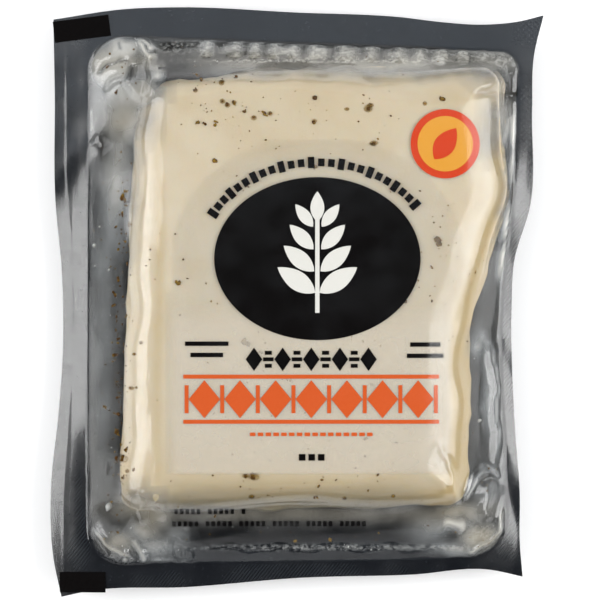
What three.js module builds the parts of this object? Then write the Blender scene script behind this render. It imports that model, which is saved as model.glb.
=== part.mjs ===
// A block of halloumi, vacuum-sealed between a clear front film and a dark formed backing film.
// The pack lies on its back with the front up. Millimetres: +X right, +Y to the top edge, +Z up.
// The origin lies under the middle of the pack, on the surface that it rests on.
import * as THREE from "three";

// Heights above the surface under the pack
const PACK_HEIGHT = 23;
const SEAL_LEVEL = 9.5;
const SEAL_THICKNESS = 0.8;

// Tips of the four corners of the films
const CORNERS = {
  bottomRight: [52.9, -64.4],
  topRight: [57.8, 67.2],
  topLeft: [-57.1, 66.2],
  bottomLeft: [-55.2, -69.1],
};

// The four cut edges, anticlockwise. Each pair is a share of the way along the edge
// and how far the vacuum has drawn the edge in there from the straight line.
const EDGES = [
  {
    from: "bottomRight",
    to: "topRight",
    drawnIn: [
      [0.06, 1.0], [0.15, 1.5], [0.27, 3.2], [0.49, 5.0],
      [0.56, 4.8], [0.66, 1.5], [0.83, 1.9], [0.93, 1.9],
    ],
  },
  {
    from: "topRight",
    to: "topLeft",
    drawnIn: [[0.05, 1.4], [0.13, 2.1], [0.21, 1.4], [0.29, 0.2], [0.5, -1.1], [0.75, -2.6], [0.85, -2.3]],
  },
  {
    from: "topLeft",
    to: "bottomLeft",
    drawnIn: [
      [0.12, 0.1], [0.32, -0.1], [0.44, 1.1], [0.57, 1.1],
      [0.68, -0.1], [0.82, -2.2], [0.93, -1.8],
    ],
  },
  {
    from: "bottomLeft",
    to: "bottomRight",
    drawnIn: [[0.05, 1.0], [0.28, 1.1], [0.52, 2.1], [0.76, 1.7], [0.93, 2.0]],
  },
];
const STEPS_PER_EDGE = 34;

// Plan of the cheese at its widest, and the rounding of its edges.
// Its right side bulges where the depth of a bend is negative, and is drawn in at the waist.
const BLOCK_CORNERS = [[39.4, -47.7], [48.5, 55.4], [-37.3, 54.0], [-42.1, -49.0]];
const BLOCK_CORNER_RADIUS = 6;
const BLOCK_BENDS = [
  { depth: -3.7, middle: 26, halfLength: 16 },
  { depth: 2.2, middle: -9, halfLength: 16 },
];
// The rounding at the front is wider on the right.
const FRONT_ROUNDING = { width: 8, wider: 5.5, height: 9 };
const BACK_ROUNDING = { width: 6, wider: 0, height: 6 };
const ROUNDING_KEPT = 0.88;

// Inner edge of the seal, pulled in beside the waist of the pack. Its top right corner is the tightest.
const POCKET_CORNERS = [[49.1, -59.9], [52.2, 58.9], [-48.9, 62.9], [-49.1, -61.6]];
const POCKET_CORNER_RADIUS = 9;
const POCKET_TIGHT_RADIUS = 4.5;
const POCKET_BENDS = [{ depth: 2.6, middle: -6, halfLength: 26 }];

// The films sag in a hollow curve from the cheese to the seal.
// The front is more hollow at the upper right and less on the left.
const FRONT_HOLLOW = 1.4;
const UPPER_RIGHT_HOLLOW = 1.1;
const LEFT_HOLLOW = -0.5;
const BACK_HOLLOW = 1.5;

// Slope of the margin in degrees, by direction from the middle of the pack. On both sides the creases
// between stretches slant by some degrees for each millimetre outwards.
const MARGIN_SLOPES = [
  [-180, -17.5], [-165, -17], [-160, -14], [-156.5, -12], [-153.5, -10], [-150.5, -9], [-147.5, -8],
  [-144, -7], [-139, -6], [-133, -2], [-126, 0], [-70, 0], [-62, -5], [-56, -6], [-53.5, -9],
  [-51, -11.5], [-48.5, -11], [-46, -10.7], [-42.7, -12], [-39.8, -6.3], [-36.8, -6], [-34, -8],
  [-31, -13.5], [-21, -16], [-17, -12], [-14, -8.8], [-11.5, -8], [-8.5, -8.6], [-5.5, -14],
  [-2.5, -11.5], [0.5, -11.3], [6, -12.5], [10, -12.3], [12.5, -11], [15.5, -9.2], [18.5, -9],
  [21.5, -9.6], [25, -11.4], [28, -9.6], [31.5, -8], [34.5, -6.9], [37, -6.3], [42.5, -5.8], [46, -5.5],
  [72, -6], [116, -6], [125, -5], [131.5, -4.5], [134.5, -4.3], [137.5, -7], [140.5, -8.5], [142, -5],
  [143.5, -3], [145, -4], [147, -7], [149.5, -10], [152.5, -12.3], [158.5, -15], [170, -17.5], [180, -17.5],
];
const MARGIN_SLANT = 1.5;
const MARGIN_STEPS = 10;

// Stiff folds of the front film beside the corners of the cheese
const FOLDS = [
  { from: [-46, 50], to: [-37, 60], height: 1.6, width: 2.2 },
  { from: [-37, 61], to: [-33, 49], height: 1.5, width: 1.6 },
  { from: [43, 57], to: [50, 50], height: 1.2, width: 1.6 },
  { from: [42, -8], to: [47, -33], height: 1.3, width: 1.6 },
  { from: [42, -42], to: [47, -54], height: 1.6, width: 2.2 },
  { from: [-37, -43], to: [-34, -56], height: 1.4, width: 1.8 },
  { from: [-47, -51], to: [-40, -58], height: 1.3, width: 1.8 },
];
const FOLD_FADE = 2.5;

const PACK_COLOUR = 0xcfc4ad;

// Distance outside the straight line between two corners, negative inside
function beyondSide(x, y, from, to) {
  const alongX = to[0] - from[0];
  const alongY = to[1] - from[1];
  return ((x - from[0]) * alongY - (y - from[1]) * alongX) / Math.hypot(alongX, alongY);
}

// Distance outside a four-sided outline with rounded corners, negative inside
function beyondOutline(x, y, corners, radius) {
  const [bottomRight, topRight, topLeft, bottomLeft] = corners;
  const right = beyondSide(x, y, bottomRight, topRight);
  const top = beyondSide(x, y, topRight, topLeft);
  const left = beyondSide(x, y, topLeft, bottomLeft);
  const bottom = beyondSide(x, y, bottomLeft, bottomRight);
  const across = Math.max(left, right) + radius;
  const along = Math.max(top, bottom) + radius;
  const corner = Math.hypot(Math.max(across, 0), Math.max(along, 0));
  return corner + Math.min(Math.max(across, along), 0) - radius;
}

// How far the bends of the right side draw it in
function sidePull(x, y, bends) {
  const pulls = bends.map((bend) => bend.depth * Math.exp(-(((y - bend.middle) / bend.halfLength) ** 2)));
  return x > 0 ? pulls.reduce((sum, pull) => sum + pull) : 0;
}

function beyondBlock(x, y) {
  return beyondOutline(x + sidePull(x, y, BLOCK_BENDS), y, BLOCK_CORNERS, BLOCK_CORNER_RADIUS);
}

function beyondPocket(x, y) {
  const radius = x > 0 && y > 0 ? POCKET_TIGHT_RADIUS : POCKET_CORNER_RADIUS;
  return beyondOutline(x + sidePull(x, y, POCKET_BENDS), y, POCKET_CORNERS, radius);
}

// Slope of the margin in a direction from the middle of the pack, both in degrees
function marginSlope(degrees) {
  const direction = THREE.MathUtils.euclideanModulo(degrees + 180, 360) - 180;
  const next = MARGIN_SLOPES.findIndex(([at]) => at > direction);
  const [before, after] = [MARGIN_SLOPES[next - 1], MARGIN_SLOPES[next]];
  return THREE.MathUtils.mapLinear(direction, before[0], after[0], before[1], after[1]);
}

// Level of the welded margin, which droops at the sides: its slope, added up outwards from the pocket
function marginLevel(x, y) {
  const step = Math.max(beyondPocket(x, y), 0) / MARGIN_STEPS;
  const towards = THREE.MathUtils.radToDeg(Math.atan2(y, x));
  const slant = MARGIN_SLANT * Math.sign(x) * step;
  let level = SEAL_LEVEL;
  for (let number = 0; number < MARGIN_STEPS; number += 1) {
    const slope = marginSlope(towards + slant * (number + 0.5));
    level += step * Math.tan(THREE.MathUtils.degToRad(slope));
  }
  return level;
}

// Rise of the folds above the even film
function foldRise(x, y) {
  const here = new THREE.Vector3(x, y, 0);
  const nearest = new THREE.Vector3();
  let rise = 0;
  for (const fold of FOLDS) {
    const line = new THREE.Line3(new THREE.Vector3(...fold.from, 0), new THREE.Vector3(...fold.to, 0));
    line.closestPointToPoint(here, true, nearest);
    rise += fold.height * Math.exp(-((nearest.distanceTo(here) / fold.width) ** 2));
  }
  return rise;
}

// Width of a rounded edge of the cheese
function roundingWidth(x, rounding) {
  return rounding.width + rounding.wider * THREE.MathUtils.smoothstep(x, 8, 28);
}

// Share of the way from the shoulder of the cheese to the seal
function shareToSeal(x, y, rounding) {
  const fromShoulder = beyondBlock(x, y) + (1 - ROUNDING_KEPT) * roundingWidth(x, rounding);
  const toSeal = Math.max(-beyondPocket(x, y), 0);
  return THREE.MathUtils.clamp(fromShoulder / (fromShoulder + toSeal), 0, 1);
}

// How far a rounded edge of the cheese has dropped at a share of the way across it
function roundingDrop(share, rounding) {
  return rounding.height * (1 - Math.sqrt(1 - share * share));
}

// How hollow the sag of the front film is
function frontHollow(x, y) {
  const { smoothstep } = THREE.MathUtils;
  const upperRight = smoothstep(x, 30, 45) * smoothstep(y, 0, 25);
  const left = smoothstep(-x, 30, 40) * smoothstep(-y, -42, -28);
  return FRONT_HOLLOW + UPPER_RIGHT_HOLLOW * upperRight + LEFT_HOLLOW * left;
}

function frontLevel(x, y) {
  const across = Math.max(beyondBlock(x, y) / roundingWidth(x, FRONT_ROUNDING) + 1, 0);
  if (across <= ROUNDING_KEPT) {
    return PACK_HEIGHT - roundingDrop(across, FRONT_ROUNDING);
  }
  const shoulder = PACK_HEIGHT - roundingDrop(ROUNDING_KEPT, FRONT_ROUNDING);
  const margin = marginLevel(x, y);
  const share = shareToSeal(x, y, FRONT_ROUNDING);
  const even = margin + (shoulder - margin) * (1 - share) ** frontHollow(x, y);
  const fade = THREE.MathUtils.smoothstep(-beyondPocket(x, y), 0, FOLD_FADE);
  return even + foldRise(x, y) * fade;
}

function backLevel(x, y) {
  const across = Math.max(beyondBlock(x, y) / roundingWidth(x, BACK_ROUNDING) + 1, 0);
  if (across <= ROUNDING_KEPT) {
    return roundingDrop(across, BACK_ROUNDING);
  }
  const shoulder = roundingDrop(ROUNDING_KEPT, BACK_ROUNDING);
  const margin = marginLevel(x, y) - SEAL_THICKNESS;
  const share = shareToSeal(x, y, BACK_ROUNDING);
  return margin + (shoulder - margin) * (1 - share) ** BACK_HOLLOW;
}

// Points along the cut edge of the films, anticlockwise from the bottom right corner
function edgePoints() {
  const points = [];
  for (const edge of EDGES) {
    const from = new THREE.Vector2(...CORNERS[edge.from]);
    const to = new THREE.Vector2(...CORNERS[edge.to]);
    const inward = to.clone().sub(from).normalize().rotateAround(new THREE.Vector2(), Math.PI / 2);
    const bends = edge.drawnIn.map(([share, depth]) => {
      return from.clone().lerp(to, share).addScaledVector(inward, depth);
    });
    const curve = new THREE.SplineCurve([from, ...bends, to]);
    points.push(...curve.getSpacedPoints(STEPS_PER_EDGE).slice(0, STEPS_PER_EDGE));
  }
  return points;
}

// Distance from the middle, along a direction, at which an outline is crossed
function reach(beyond, direction) {
  let inside = 0;
  let outside = 100;
  for (let halving = 0; halving < 40; halving += 1) {
    const middle = (inside + outside) / 2;
    if (beyond(direction.x * middle, direction.y * middle) > 0) {
      outside = middle;
    } else {
      inside = middle;
    }
  }
  return inside;
}

// Rings of the solid from the middle of the front, over the cut edge, to the middle of the back.
// Each lies a share of the way from one outline to the next.
const RINGS = [
  { level: frontLevel, from: "middle", to: "frontFace", shares: [0, 0.35, 0.7, 1] },
  { level: frontLevel, from: "frontFace", to: "side", shares: [0.25, 0.5, 0.7, 0.86, 1] },
  { level: frontLevel, from: "side", to: "pocket", shares: [0.15, 0.32, 0.5, 0.7, 0.88, 1] },
  { level: frontLevel, from: "pocket", to: "edge", shares: [0.35, 0.7, 1] },
  { level: backLevel, from: "edge", to: "pocket", shares: [0, 0.5, 1] },
  { level: backLevel, from: "pocket", to: "side", shares: [0.3, 0.6, 0.85, 1] },
  { level: backLevel, from: "side", to: "backFace", shares: [0.15, 0.4, 0.7, 1] },
  { level: backLevel, from: "backFace", to: "middle", shares: [0.5, 1] },
];

function packGeometry() {
  const columns = edgePoints().map((edge) => {
    const direction = edge.clone().normalize();
    return {
      direction,
      middle: 0,
      frontFace: reach((x, y) => beyondBlock(x, y) + roundingWidth(x, FRONT_ROUNDING), direction),
      backFace: reach((x, y) => beyondBlock(x, y) + roundingWidth(x, BACK_ROUNDING), direction),
      side: reach(beyondBlock, direction),
      pocket: reach(beyondPocket, direction),
      edge: edge.length(),
    };
  });
  const rings = RINGS.flatMap(({ shares, ...ring }) => shares.map((share) => ({ ...ring, share })));
  const geometry = new THREE.SphereGeometry(1, columns.length, rings.length - 1);
  const position = geometry.getAttribute("position");
  for (let vertex = 0; vertex < position.count; vertex += 1) {
    const ring = rings[Math.floor(vertex / (columns.length + 1))];
    const column = columns[(vertex % (columns.length + 1)) % columns.length];
    const distance = THREE.MathUtils.lerp(column[ring.from], column[ring.to], ring.share);
    const x = column.direction.x * distance;
    const y = column.direction.y * distance;
    position.setXYZ(vertex, x, y, ring.level(x, y));
  }
  geometry.deleteAttribute("uv");
  geometry.computeVertexNormals();
  return geometry;
}

const material = new THREE.MeshStandardMaterial({ color: PACK_COLOUR, roughness: 0.3, metalness: 0 });
material.name = "sealed_pack";
const pack = new THREE.Mesh(packGeometry(), material);
pack.name = "halloumi_pack";

const group = new THREE.Group();
group.name = "halloumi";
group.add(pack);

export default group;
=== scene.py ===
"""Looks of a vacuum-sealed block of halloumi, laid out as a Blender add-on and run as a script."""

import math
import random
from collections import namedtuple

import bmesh
import bpy
import numpy as np
from mathutils import Matrix, Vector, noise


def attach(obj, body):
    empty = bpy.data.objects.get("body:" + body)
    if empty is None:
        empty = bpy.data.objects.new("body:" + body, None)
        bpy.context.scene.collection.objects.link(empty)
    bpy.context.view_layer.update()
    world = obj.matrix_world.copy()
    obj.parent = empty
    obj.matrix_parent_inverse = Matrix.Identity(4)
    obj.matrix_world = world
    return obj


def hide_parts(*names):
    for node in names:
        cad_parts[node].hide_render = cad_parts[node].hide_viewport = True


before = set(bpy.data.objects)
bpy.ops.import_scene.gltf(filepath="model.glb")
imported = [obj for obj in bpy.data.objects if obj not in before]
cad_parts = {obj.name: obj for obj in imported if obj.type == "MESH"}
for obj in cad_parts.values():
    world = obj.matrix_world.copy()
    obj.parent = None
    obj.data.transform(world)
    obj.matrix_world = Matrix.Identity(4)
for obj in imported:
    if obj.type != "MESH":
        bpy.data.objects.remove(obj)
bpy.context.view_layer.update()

bl_info = {
    "name": "Sealed Halloumi Pack",
    "version": (1, 0, 0),
    "blender": (4, 5, 0),
    "location": "3D View > Sidebar > Halloumi",
    "description": "Builds the films, cheese, brine, flecks and print of a vacuum-sealed block of halloumi",
    "category": "Object",
}

BODY = "root"
PACK_NODE = "halloumi_pack"
MM = 0.001
SEED = 20

# Corners in plan, in millimetres from the pack's middle: bottom right, top right, top left, bottom left
PACK_CORNERS = ((52.9, -64.4), (57.8, 67.2), (-57.1, 66.2), (-55.2, -69.1))
BLOCK_CORNERS = ((39.4, -47.7), (48.5, 55.4), (-37.3, 54.0), (-42.1, -49.0))
BLOCK_CORNER_RADIUS = 6.0
POCKET_CORNERS = ((49.1, -59.9), (52.2, 58.9), (-48.9, 62.9), (-49.1, -61.6))
POCKET_CORNER_RADIUS = 9.0
POCKET_TIGHT_RADIUS = 4.5
# Share of the way along each cut edge of the pack, and how far the edge is drawn in there
RIGHT_DRAWN_IN = (
    (0, 0), (0.06, 1.0), (0.15, 1.5), (0.27, 3.2), (0.49, 5.0),
    (0.56, 4.8), (0.66, 1.5), (0.83, 1.9), (0.93, 1.9), (1, 0),
)
TOP_DRAWN_IN = (
    (0, 0), (0.15, -2.3), (0.25, -2.6), (0.5, -1.1), (0.71, 0.2),
    (0.79, 1.4), (0.87, 2.1), (0.95, 1.4), (1, 0),
)
LEFT_DRAWN_IN = (
    (0, 0), (0.07, -1.8), (0.18, -2.2), (0.32, -0.1), (0.43, 1.1),
    (0.56, 1.1), (0.68, -0.1), (0.88, 0.1), (1, 0),
)
BOTTOM_DRAWN_IN = ((0, 0), (0.05, 1.0), (0.28, 1.1), (0.52, 2.1), (0.76, 1.7), (0.93, 2.0), (1, 0))
# Bends of a right side: how far each draws it in, or bulges it where negative
Bend = namedtuple("Bend", "depth middle half_length")
BLOCK_BENDS = (Bend(-3.7, 26.0, 16.0), Bend(2.2, -9.0, 16.0))
POCKET_BENDS = (Bend(2.6, -6.0, 26.0),)
# Slow waves: the height of each, its radians per millimetre along X and Y, and its phase
Wave = namedtuple("Wave", "height across along phase")
BLOCK_EDGE_WAVES = (Wave(0.4, 0.11, 0.23, 0), Wave(0.25, -0.17, 0.41, 2))
WANDER_ACROSS = (Wave(0.40, 0.2, 0.55, 0), Wave(0.20, -0.7, 1.3, 1))
WANDER_ALONG = (Wave(0.40, 0.5, -0.3, 2), Wave(0.20, 1.2, 0.6, 0))

# Levels above the surface under the pack, and the curves of the films between them
PACK_HEIGHT = 23.0
SEAL_LEVEL = 9.5
SEAL_THICKNESS = 0.8
# Width of a rounded edge, how much wider it is on the right, and its height
Rounding = namedtuple("Rounding", "width wider height")
FRONT_ROUNDING = Rounding(8.0, 5.5, 9.0)
BACK_ROUNDING = Rounding(6.0, 0.0, 6.0)
# Stretch of X over which the edge widens, and the share of the rounding that a film follows
ROUNDING_WIDENS = (8, 28)
ROUNDING_KEPT = 0.88
# Hollow of each film's sag, and how much the front's changes over a stretch of X and one of Y
FRONT_HOLLOW = 1.4
BACK_HOLLOW = 1.5
Change = namedtuple("Change", "amount across along")
HOLLOW_CHANGES = (Change(1.1, (30, 45), (0, 25)), Change(-0.5, (-30, -40), (42, 28)))
# Inner face of the backing film above its underside, and how much more it is at the seal
BACKING_LIFT = 0.3
SEAL_LIFT = 0.15

# Slope of the margin in degrees, by direction from the middle of the pack. On both sides the creases
# between stretches slant by some degrees for each millimetre outwards.
MARGIN_SLOPES = (
    (-180, -17.5), (-165, -17), (-160, -14), (-156.5, -12), (-153.5, -10), (-150.5, -9), (-147.5, -8),
    (-144, -7), (-139, -6), (-133, -2), (-126, 0), (-70, 0), (-62, -5), (-56, -6), (-53.5, -9),
    (-51, -11.5), (-48.5, -11), (-46, -10.7), (-42.7, -12), (-39.8, -6.3), (-36.8, -6), (-34, -8),
    (-31, -13.5), (-21, -16), (-17, -12), (-14, -8.8), (-11.5, -8), (-8.5, -8.6), (-5.5, -14),
    (-2.5, -11.5), (0.5, -11.3), (6, -12.5), (10, -12.3), (12.5, -11), (15.5, -9.2), (18.5, -9),
    (21.5, -9.6), (25, -11.4), (28, -9.6), (31.5, -8), (34.5, -6.9), (37, -6.3), (42.5, -5.8), (46, -5.5),
    (72, -6), (116, -6), (125, -5), (131.5, -4.5), (134.5, -4.3), (137.5, -7), (140.5, -8.5), (142, -5),
    (143.5, -3), (145, -4), (147, -7), (149.5, -10), (152.5, -12.3), (158.5, -15), (170, -17.5),
    (180, -17.5),
)
MARGIN_SLANT = 1.5
MARGIN_STEPS = 10

# Uneven relief: its height, the size of its swells and the layer of noise that it reads
Relief = namedtuple("Relief", "height size layer")
FILM_SLACK = (Relief(0.18, 9, 1),)
SLACK_STRETCH = 0.6
FILM_CRUMPLE = Relief(0.75, 3.6, 2)
FILM_SWELLS = (Relief(0.10, 16, 3), Relief(0.04, 5, 7))
MARGIN_WAVES = (Relief(0.22, 13, 4),)
BACKING_PUCKERS = (Relief(0.25, 8, 5), Relief(0.08, 3, 6))
BLOCK_DENTS = (Relief(0.30, 9, 8),)
BLOCK_PITS = (Relief(0.10, 3.5, 9),)
BLOCK_DENT_DEPTH = 0.3
BLOCK_SIDE_DENTS = (Relief(0.9, 13, 10), Relief(0.6, 4, 11))

# Steps between the layers of soft and of crumpled noise
SOFT_LAYER_STEP = 7.3
CRUMPLED_LAYER_STEP = 5.1

# Lines that a fold of the film and a streak in the brine share
HOOD_HOLLOW = ((-46.1, 53.5), (-44.2, 55.5), (-41.9, 56.8), (-40.0, 56.4), (-39.2, 55.1))
EAR_PIT = ((-39.0, 55.3), (-38.4, 52.8), (-37.9, 51.2))
RIGHT_CRESCENT = (
    (48.1, -48.0), (47.7, -51.8), (46.7, -54.4), (44.7, -56.4), (41.8, -57.9), (38.6, -58.4),
)
# Folds of the front film: the line each follows, its height and its half width
Fold = namedtuple("Fold", "line height width")
FOLDS = (
    # Ear at the top left corner of the pocket: hood, two ridges, hollow, pit and crest, and a dent below
    Fold(((-47.2, 52.5), (-45.6, 56.4), (-43.0, 59.2), (-40.2, 60.8), (-37.6, 61.4)), 0.8, 1.5),
    Fold(((-37.5, 62.0), (-35.6, 58.7), (-34.4, 55.5), (-33.4, 51.8), (-32.6, 47.4)), 1.8, 0.9),
    Fold(((-37.3, 62.6), (-34.4, 59.9), (-32.7, 55.5), (-31.9, 50.0)), 1.2, 0.7),
    Fold(HOOD_HOLLOW, -0.8, 0.7),
    Fold(EAR_PIT, -1.2, 0.9),
    Fold((
        (-44.8, 49.3), (-43.2, 51.0), (-40.0, 52.0), (-37.7, 49.3), (-35.7, 48.0), (-33.0, 47.8),
    ), 1.1, 1.0),
    Fold(((-47.6, 38.5), (-45.0, 35.0)), -0.9, 1.6),
    # Crinkles and crease at the top right corner, and the fold that runs down to the waist
    Fold(((43.0, 58.2), (45.5, 56.0)), 0.7, 0.9),
    Fold(((46.0, 57.4), (49.5, 55.6)), 0.8, 0.9),
    Fold(((50.0, 53.6), (51.0, 52.6)), 0.5, 0.7),
    Fold(((40.5, 48.6), (46.0, 48.6), (51.0, 48.2)), -1.0, 0.9),
    Fold(((50.0, 43.2), (48.6, 39.1), (46.5, 35.5)), 0.5, 1.0),
    Fold(((50.2, 28.0), (49.3, 20.0), (48.2, 11.0), (47.4, 6.0)), 0.5, 1.0),
    # Wavy line where the film leaves the head of the cheese
    Fold(((-22.0, 52.6), (-14.0, 53.2), (-4.0, 52.2), (10.0, 52.4), (24.0, 50.6)), -0.4, 0.9),
    Fold(((8.0, 54.0), (11.0, 55.2), (14.5, 53.6)), 0.4, 0.6),
    # Long groove beside the left shoulder of the cheese
    Fold((
        (-33.6, 45.0), (-32.4, 30.0), (-33.0, 18.0), (-31.8, 2.0), (-33.4, -20.0), (-32.8, -44.0),
    ), -0.35, 1.2),
    # Long fold beside the waist, on the right
    Fold((
        (41.0, -6.0), (43.7, -9.4), (45.6, -12.0), (46.2, -17.4), (46.4, -26.4), (46.8, -39.0),
    ), 0.7, 1.1),
    Fold(((42.0, -16.0), (42.2, -32.0)), -0.5, 1.2),
    # Loop, crescent and dome at the bottom right corner, and facets over the corner of the cheese
    Fold((
        (39.4, -46.4), (39.9, -43.6), (40.6, -41.4), (42.2, -40.2), (44.5, -39.8), (47.4, -40.8),
    ), 1.2, 0.9),
    Fold(RIGHT_CRESCENT, 0.9, 0.9),
    Fold(((44.0, -41.5), (44.6, -46.0), (44.2, -51.5)), 1.5, 2.4),
    Fold(((33.4, -51.6), (36.0, -52.2), (38.8, -53.2)), 0.8, 1.5),
    Fold(((28.5, -38.9), (32.9, -32.7)), 0.35, 0.7),
    Fold(((32.6, -31.4), (35.2, -38.6), (38.1, -47.6)), 0.6, 0.7),
    Fold(((27.4, -38.5), (34.0, -41.6), (38.3, -47.4)), 0.4, 0.8),
    # Folds, crescent and ridges at the bottom left corner
    Fold(((-35.1, -10.7), (-33.3, -26.4), (-32.1, -42.5), (-31.0, -48.8)), 0.5, 0.6),
    Fold(((-36.0, -42.5), (-36.4, -48.8), (-35.1, -52.4)), 0.9, 0.8),
    Fold(((-33.3, -42.1), (-32.6, -45.4), (-31.3, -50.6)), 0.6, 0.6),
    Fold((
        (-47.4, -52.0), (-46.6, -54.0), (-45.1, -56.1), (-43.1, -57.8), (-41.1, -59.0), (-37.7, -59.4),
    ), 0.9, 0.9),
    Fold(((-45.4, -38.5), (-43.6, -39.8)), 0.5, 0.5),
    Fold(((-39.4, -55.2), (-36.9, -57.5), (-35.9, -61.2)), 0.9, 0.9),
    Fold(((-28.8, -51.0), (-28.1, -56.4), (-27.9, -60.6)), 0.8, 0.8),
    Fold(((-25.9, -52.4), (-25.2, -60.4)), 0.7, 0.7),
    # Ledge along the foot of the pocket
    Fold(((-24.0, -57.2), (10.0, -57.4), (38.0, -57.6)), 0.5, 0.7),
)
# Short pleats where the film puckers at the foot of the pocket
PLEAT_PLACES = (-43.4, -40.0, -36.0, -31.5, -28.1, -25.0)
PLEATS = tuple(Fold(((place, -57.6), (place, -61.4)), 0.7, 0.6) for place in PLEAT_PLACES)
# Sharpness of a fold's crest, width over which folds fade out at the seal, and share over which one tapers
FOLD_CREST = 1.6
FOLD_FADE = 1.2
TAPER = (-0.06, 0.2)
# Pressed lines of the seal along the left and the top margin
SEAL_LINES = (
    Fold((
        (-53.8, 61.3), (-53.8, 32.0), (-53.1, 12.2), (-52.7, -8.9),
        (-53.8, -32.3), (-54.6, -44.0), (-54.6, -63.9),
    ), 0.12, 0.35),
    Fold(((-44.0, 65.2), (-20.0, 64.4), (10.0, 62.8), (51.0, 61.2)), 0.04, 0.35),
)

# Trapped blisters along the head of the pocket: place across it and half width of each, then the height in
# plan at which their line crosses the pack's middle, and its slope
BLISTERS = (
    (-21.0, 1.6), (-14.5, 2.4), (-10.0, 1.8), (-5.7, 1.9), (-1.5, 1.8), (4.6, 2.2),
    (11.2, 3.0), (17.5, 2.1), (23.8, 2.3), (28.5, 1.9), (33.6, 2.1), (38.8, 1.7),
)
BLISTER_LINE = (58.4, -0.035)
BLISTER_HALF_LENGTH = 2.3
BLISTER_HEIGHT = 0.9

# Patches of the pack: middle, reach along X and Y, strength, and how crisp the rim is
Spot = namedtuple("Spot", "middle reach amount crisp", defaults=(1,))
# Soft lines in the brine: the line each follows, its half width and strength
Streak = namedtuple("Streak", "line width amount")
CRUMPLED_SPOTS = (
    Spot((-42, 55), (8, 7), 0.1),
    Spot((45, 55), (8, 6), 0.5),
    Spot((5, 58), (45, 3), 0.3),
    Spot((-35, -57), (12, 4), 0.2),
    Spot((43, -53), (7, 7), 0.15),
    Spot((5, -59), (40, 2.5), 0.4),
)
# Milky drifts in the brine, beside the cheese and over its rim
MILKY_SPOTS = (
    # Ear at the top left
    Spot((-43.0, 55.0), (5.6, 6.5), 0.85, 2),
    Spot((-40.5, 59.8), (4.5, 2.6), 0.90, 2),
    Spot((-36.2, 57.0), (2.6, 5.0), 0.50),
    Spot((-40.5, 48.0), (6.5, 4.6), 0.85),
    Spot((-35.5, 48.5), (4.0, 3.6), 0.85, 2),
    Spot((-39.5, 42.5), (5.0, 4.6), 0.80),
    Spot((-41.5, 36.0), (3.6, 5.0), 0.55),
    # Left of the cheese
    Spot((-42.5, 24.0), (3.4, 11.0), 0.70),
    Spot((-45.4, 9.8), (2.6, 7.0), 0.45),
    Spot((-45.4, -10.0), (3.0, 26.0), 0.32),
    Spot((-37.5, -46.8), (5.0, 3.2), 0.75),
    # Head of the pocket
    Spot((-9.0, 54.6), (13.0, 2.0), 0.50),
    Spot((24.0, 54.8), (24.0, 2.0), 0.85),
    Spot((36.0, 57.2), (6.0, 2.0), 0.45),
    # Top right
    Spot((44.5, 56.0), (5.5, 3.6), 0.66),
    Spot((45.0, 51.5), (4.0, 2.4), 0.20),
    Spot((47.5, 43.0), (3.2, 4.2), 0.70),
    Spot((45.5, 38.0), (3.0, 3.5), 0.45),
    # Right of the cheese
    Spot((49.0, 14.0), (1.8, 14.0), 0.40),
    Spot((42.4, -9.5), (1.6, 3.0), 0.75),
    Spot((44.6, -21.0), (2.0, 11.0), 0.50),
    # Bottom right
    Spot((45.0, -46.0), (4.0, 5.0), 0.32),
    Spot((40.5, -49.5), (3.0, 2.6), 0.62),
    Spot((36.6, -48.8), (4.0, 2.0), 0.80),
    Spot((42.4, -54.6), (4.8, 3.4), 0.82),
    Spot((32.0, -52.0), (6.0, 3.6), 0.60),
    Spot((37.0, -57.8), (5.0, 1.4), 0.70),
    # Bottom left and foot
    Spot((-41.6, -56.0), (3.8, 2.8), 0.66),
    Spot((-33.2, -49.5), (3.4, 4.2), 0.82),
    Spot((-35.6, -53.2), (3.4, 2.4), 0.82),
    Spot((-33.0, -56.8), (5.0, 3.0), 0.58),
    Spot((-27.6, -54.8), (2.0, 3.4), 0.55),
    Spot((2.0, -49.5), (44.0, 2.2), 0.30),
)
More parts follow.
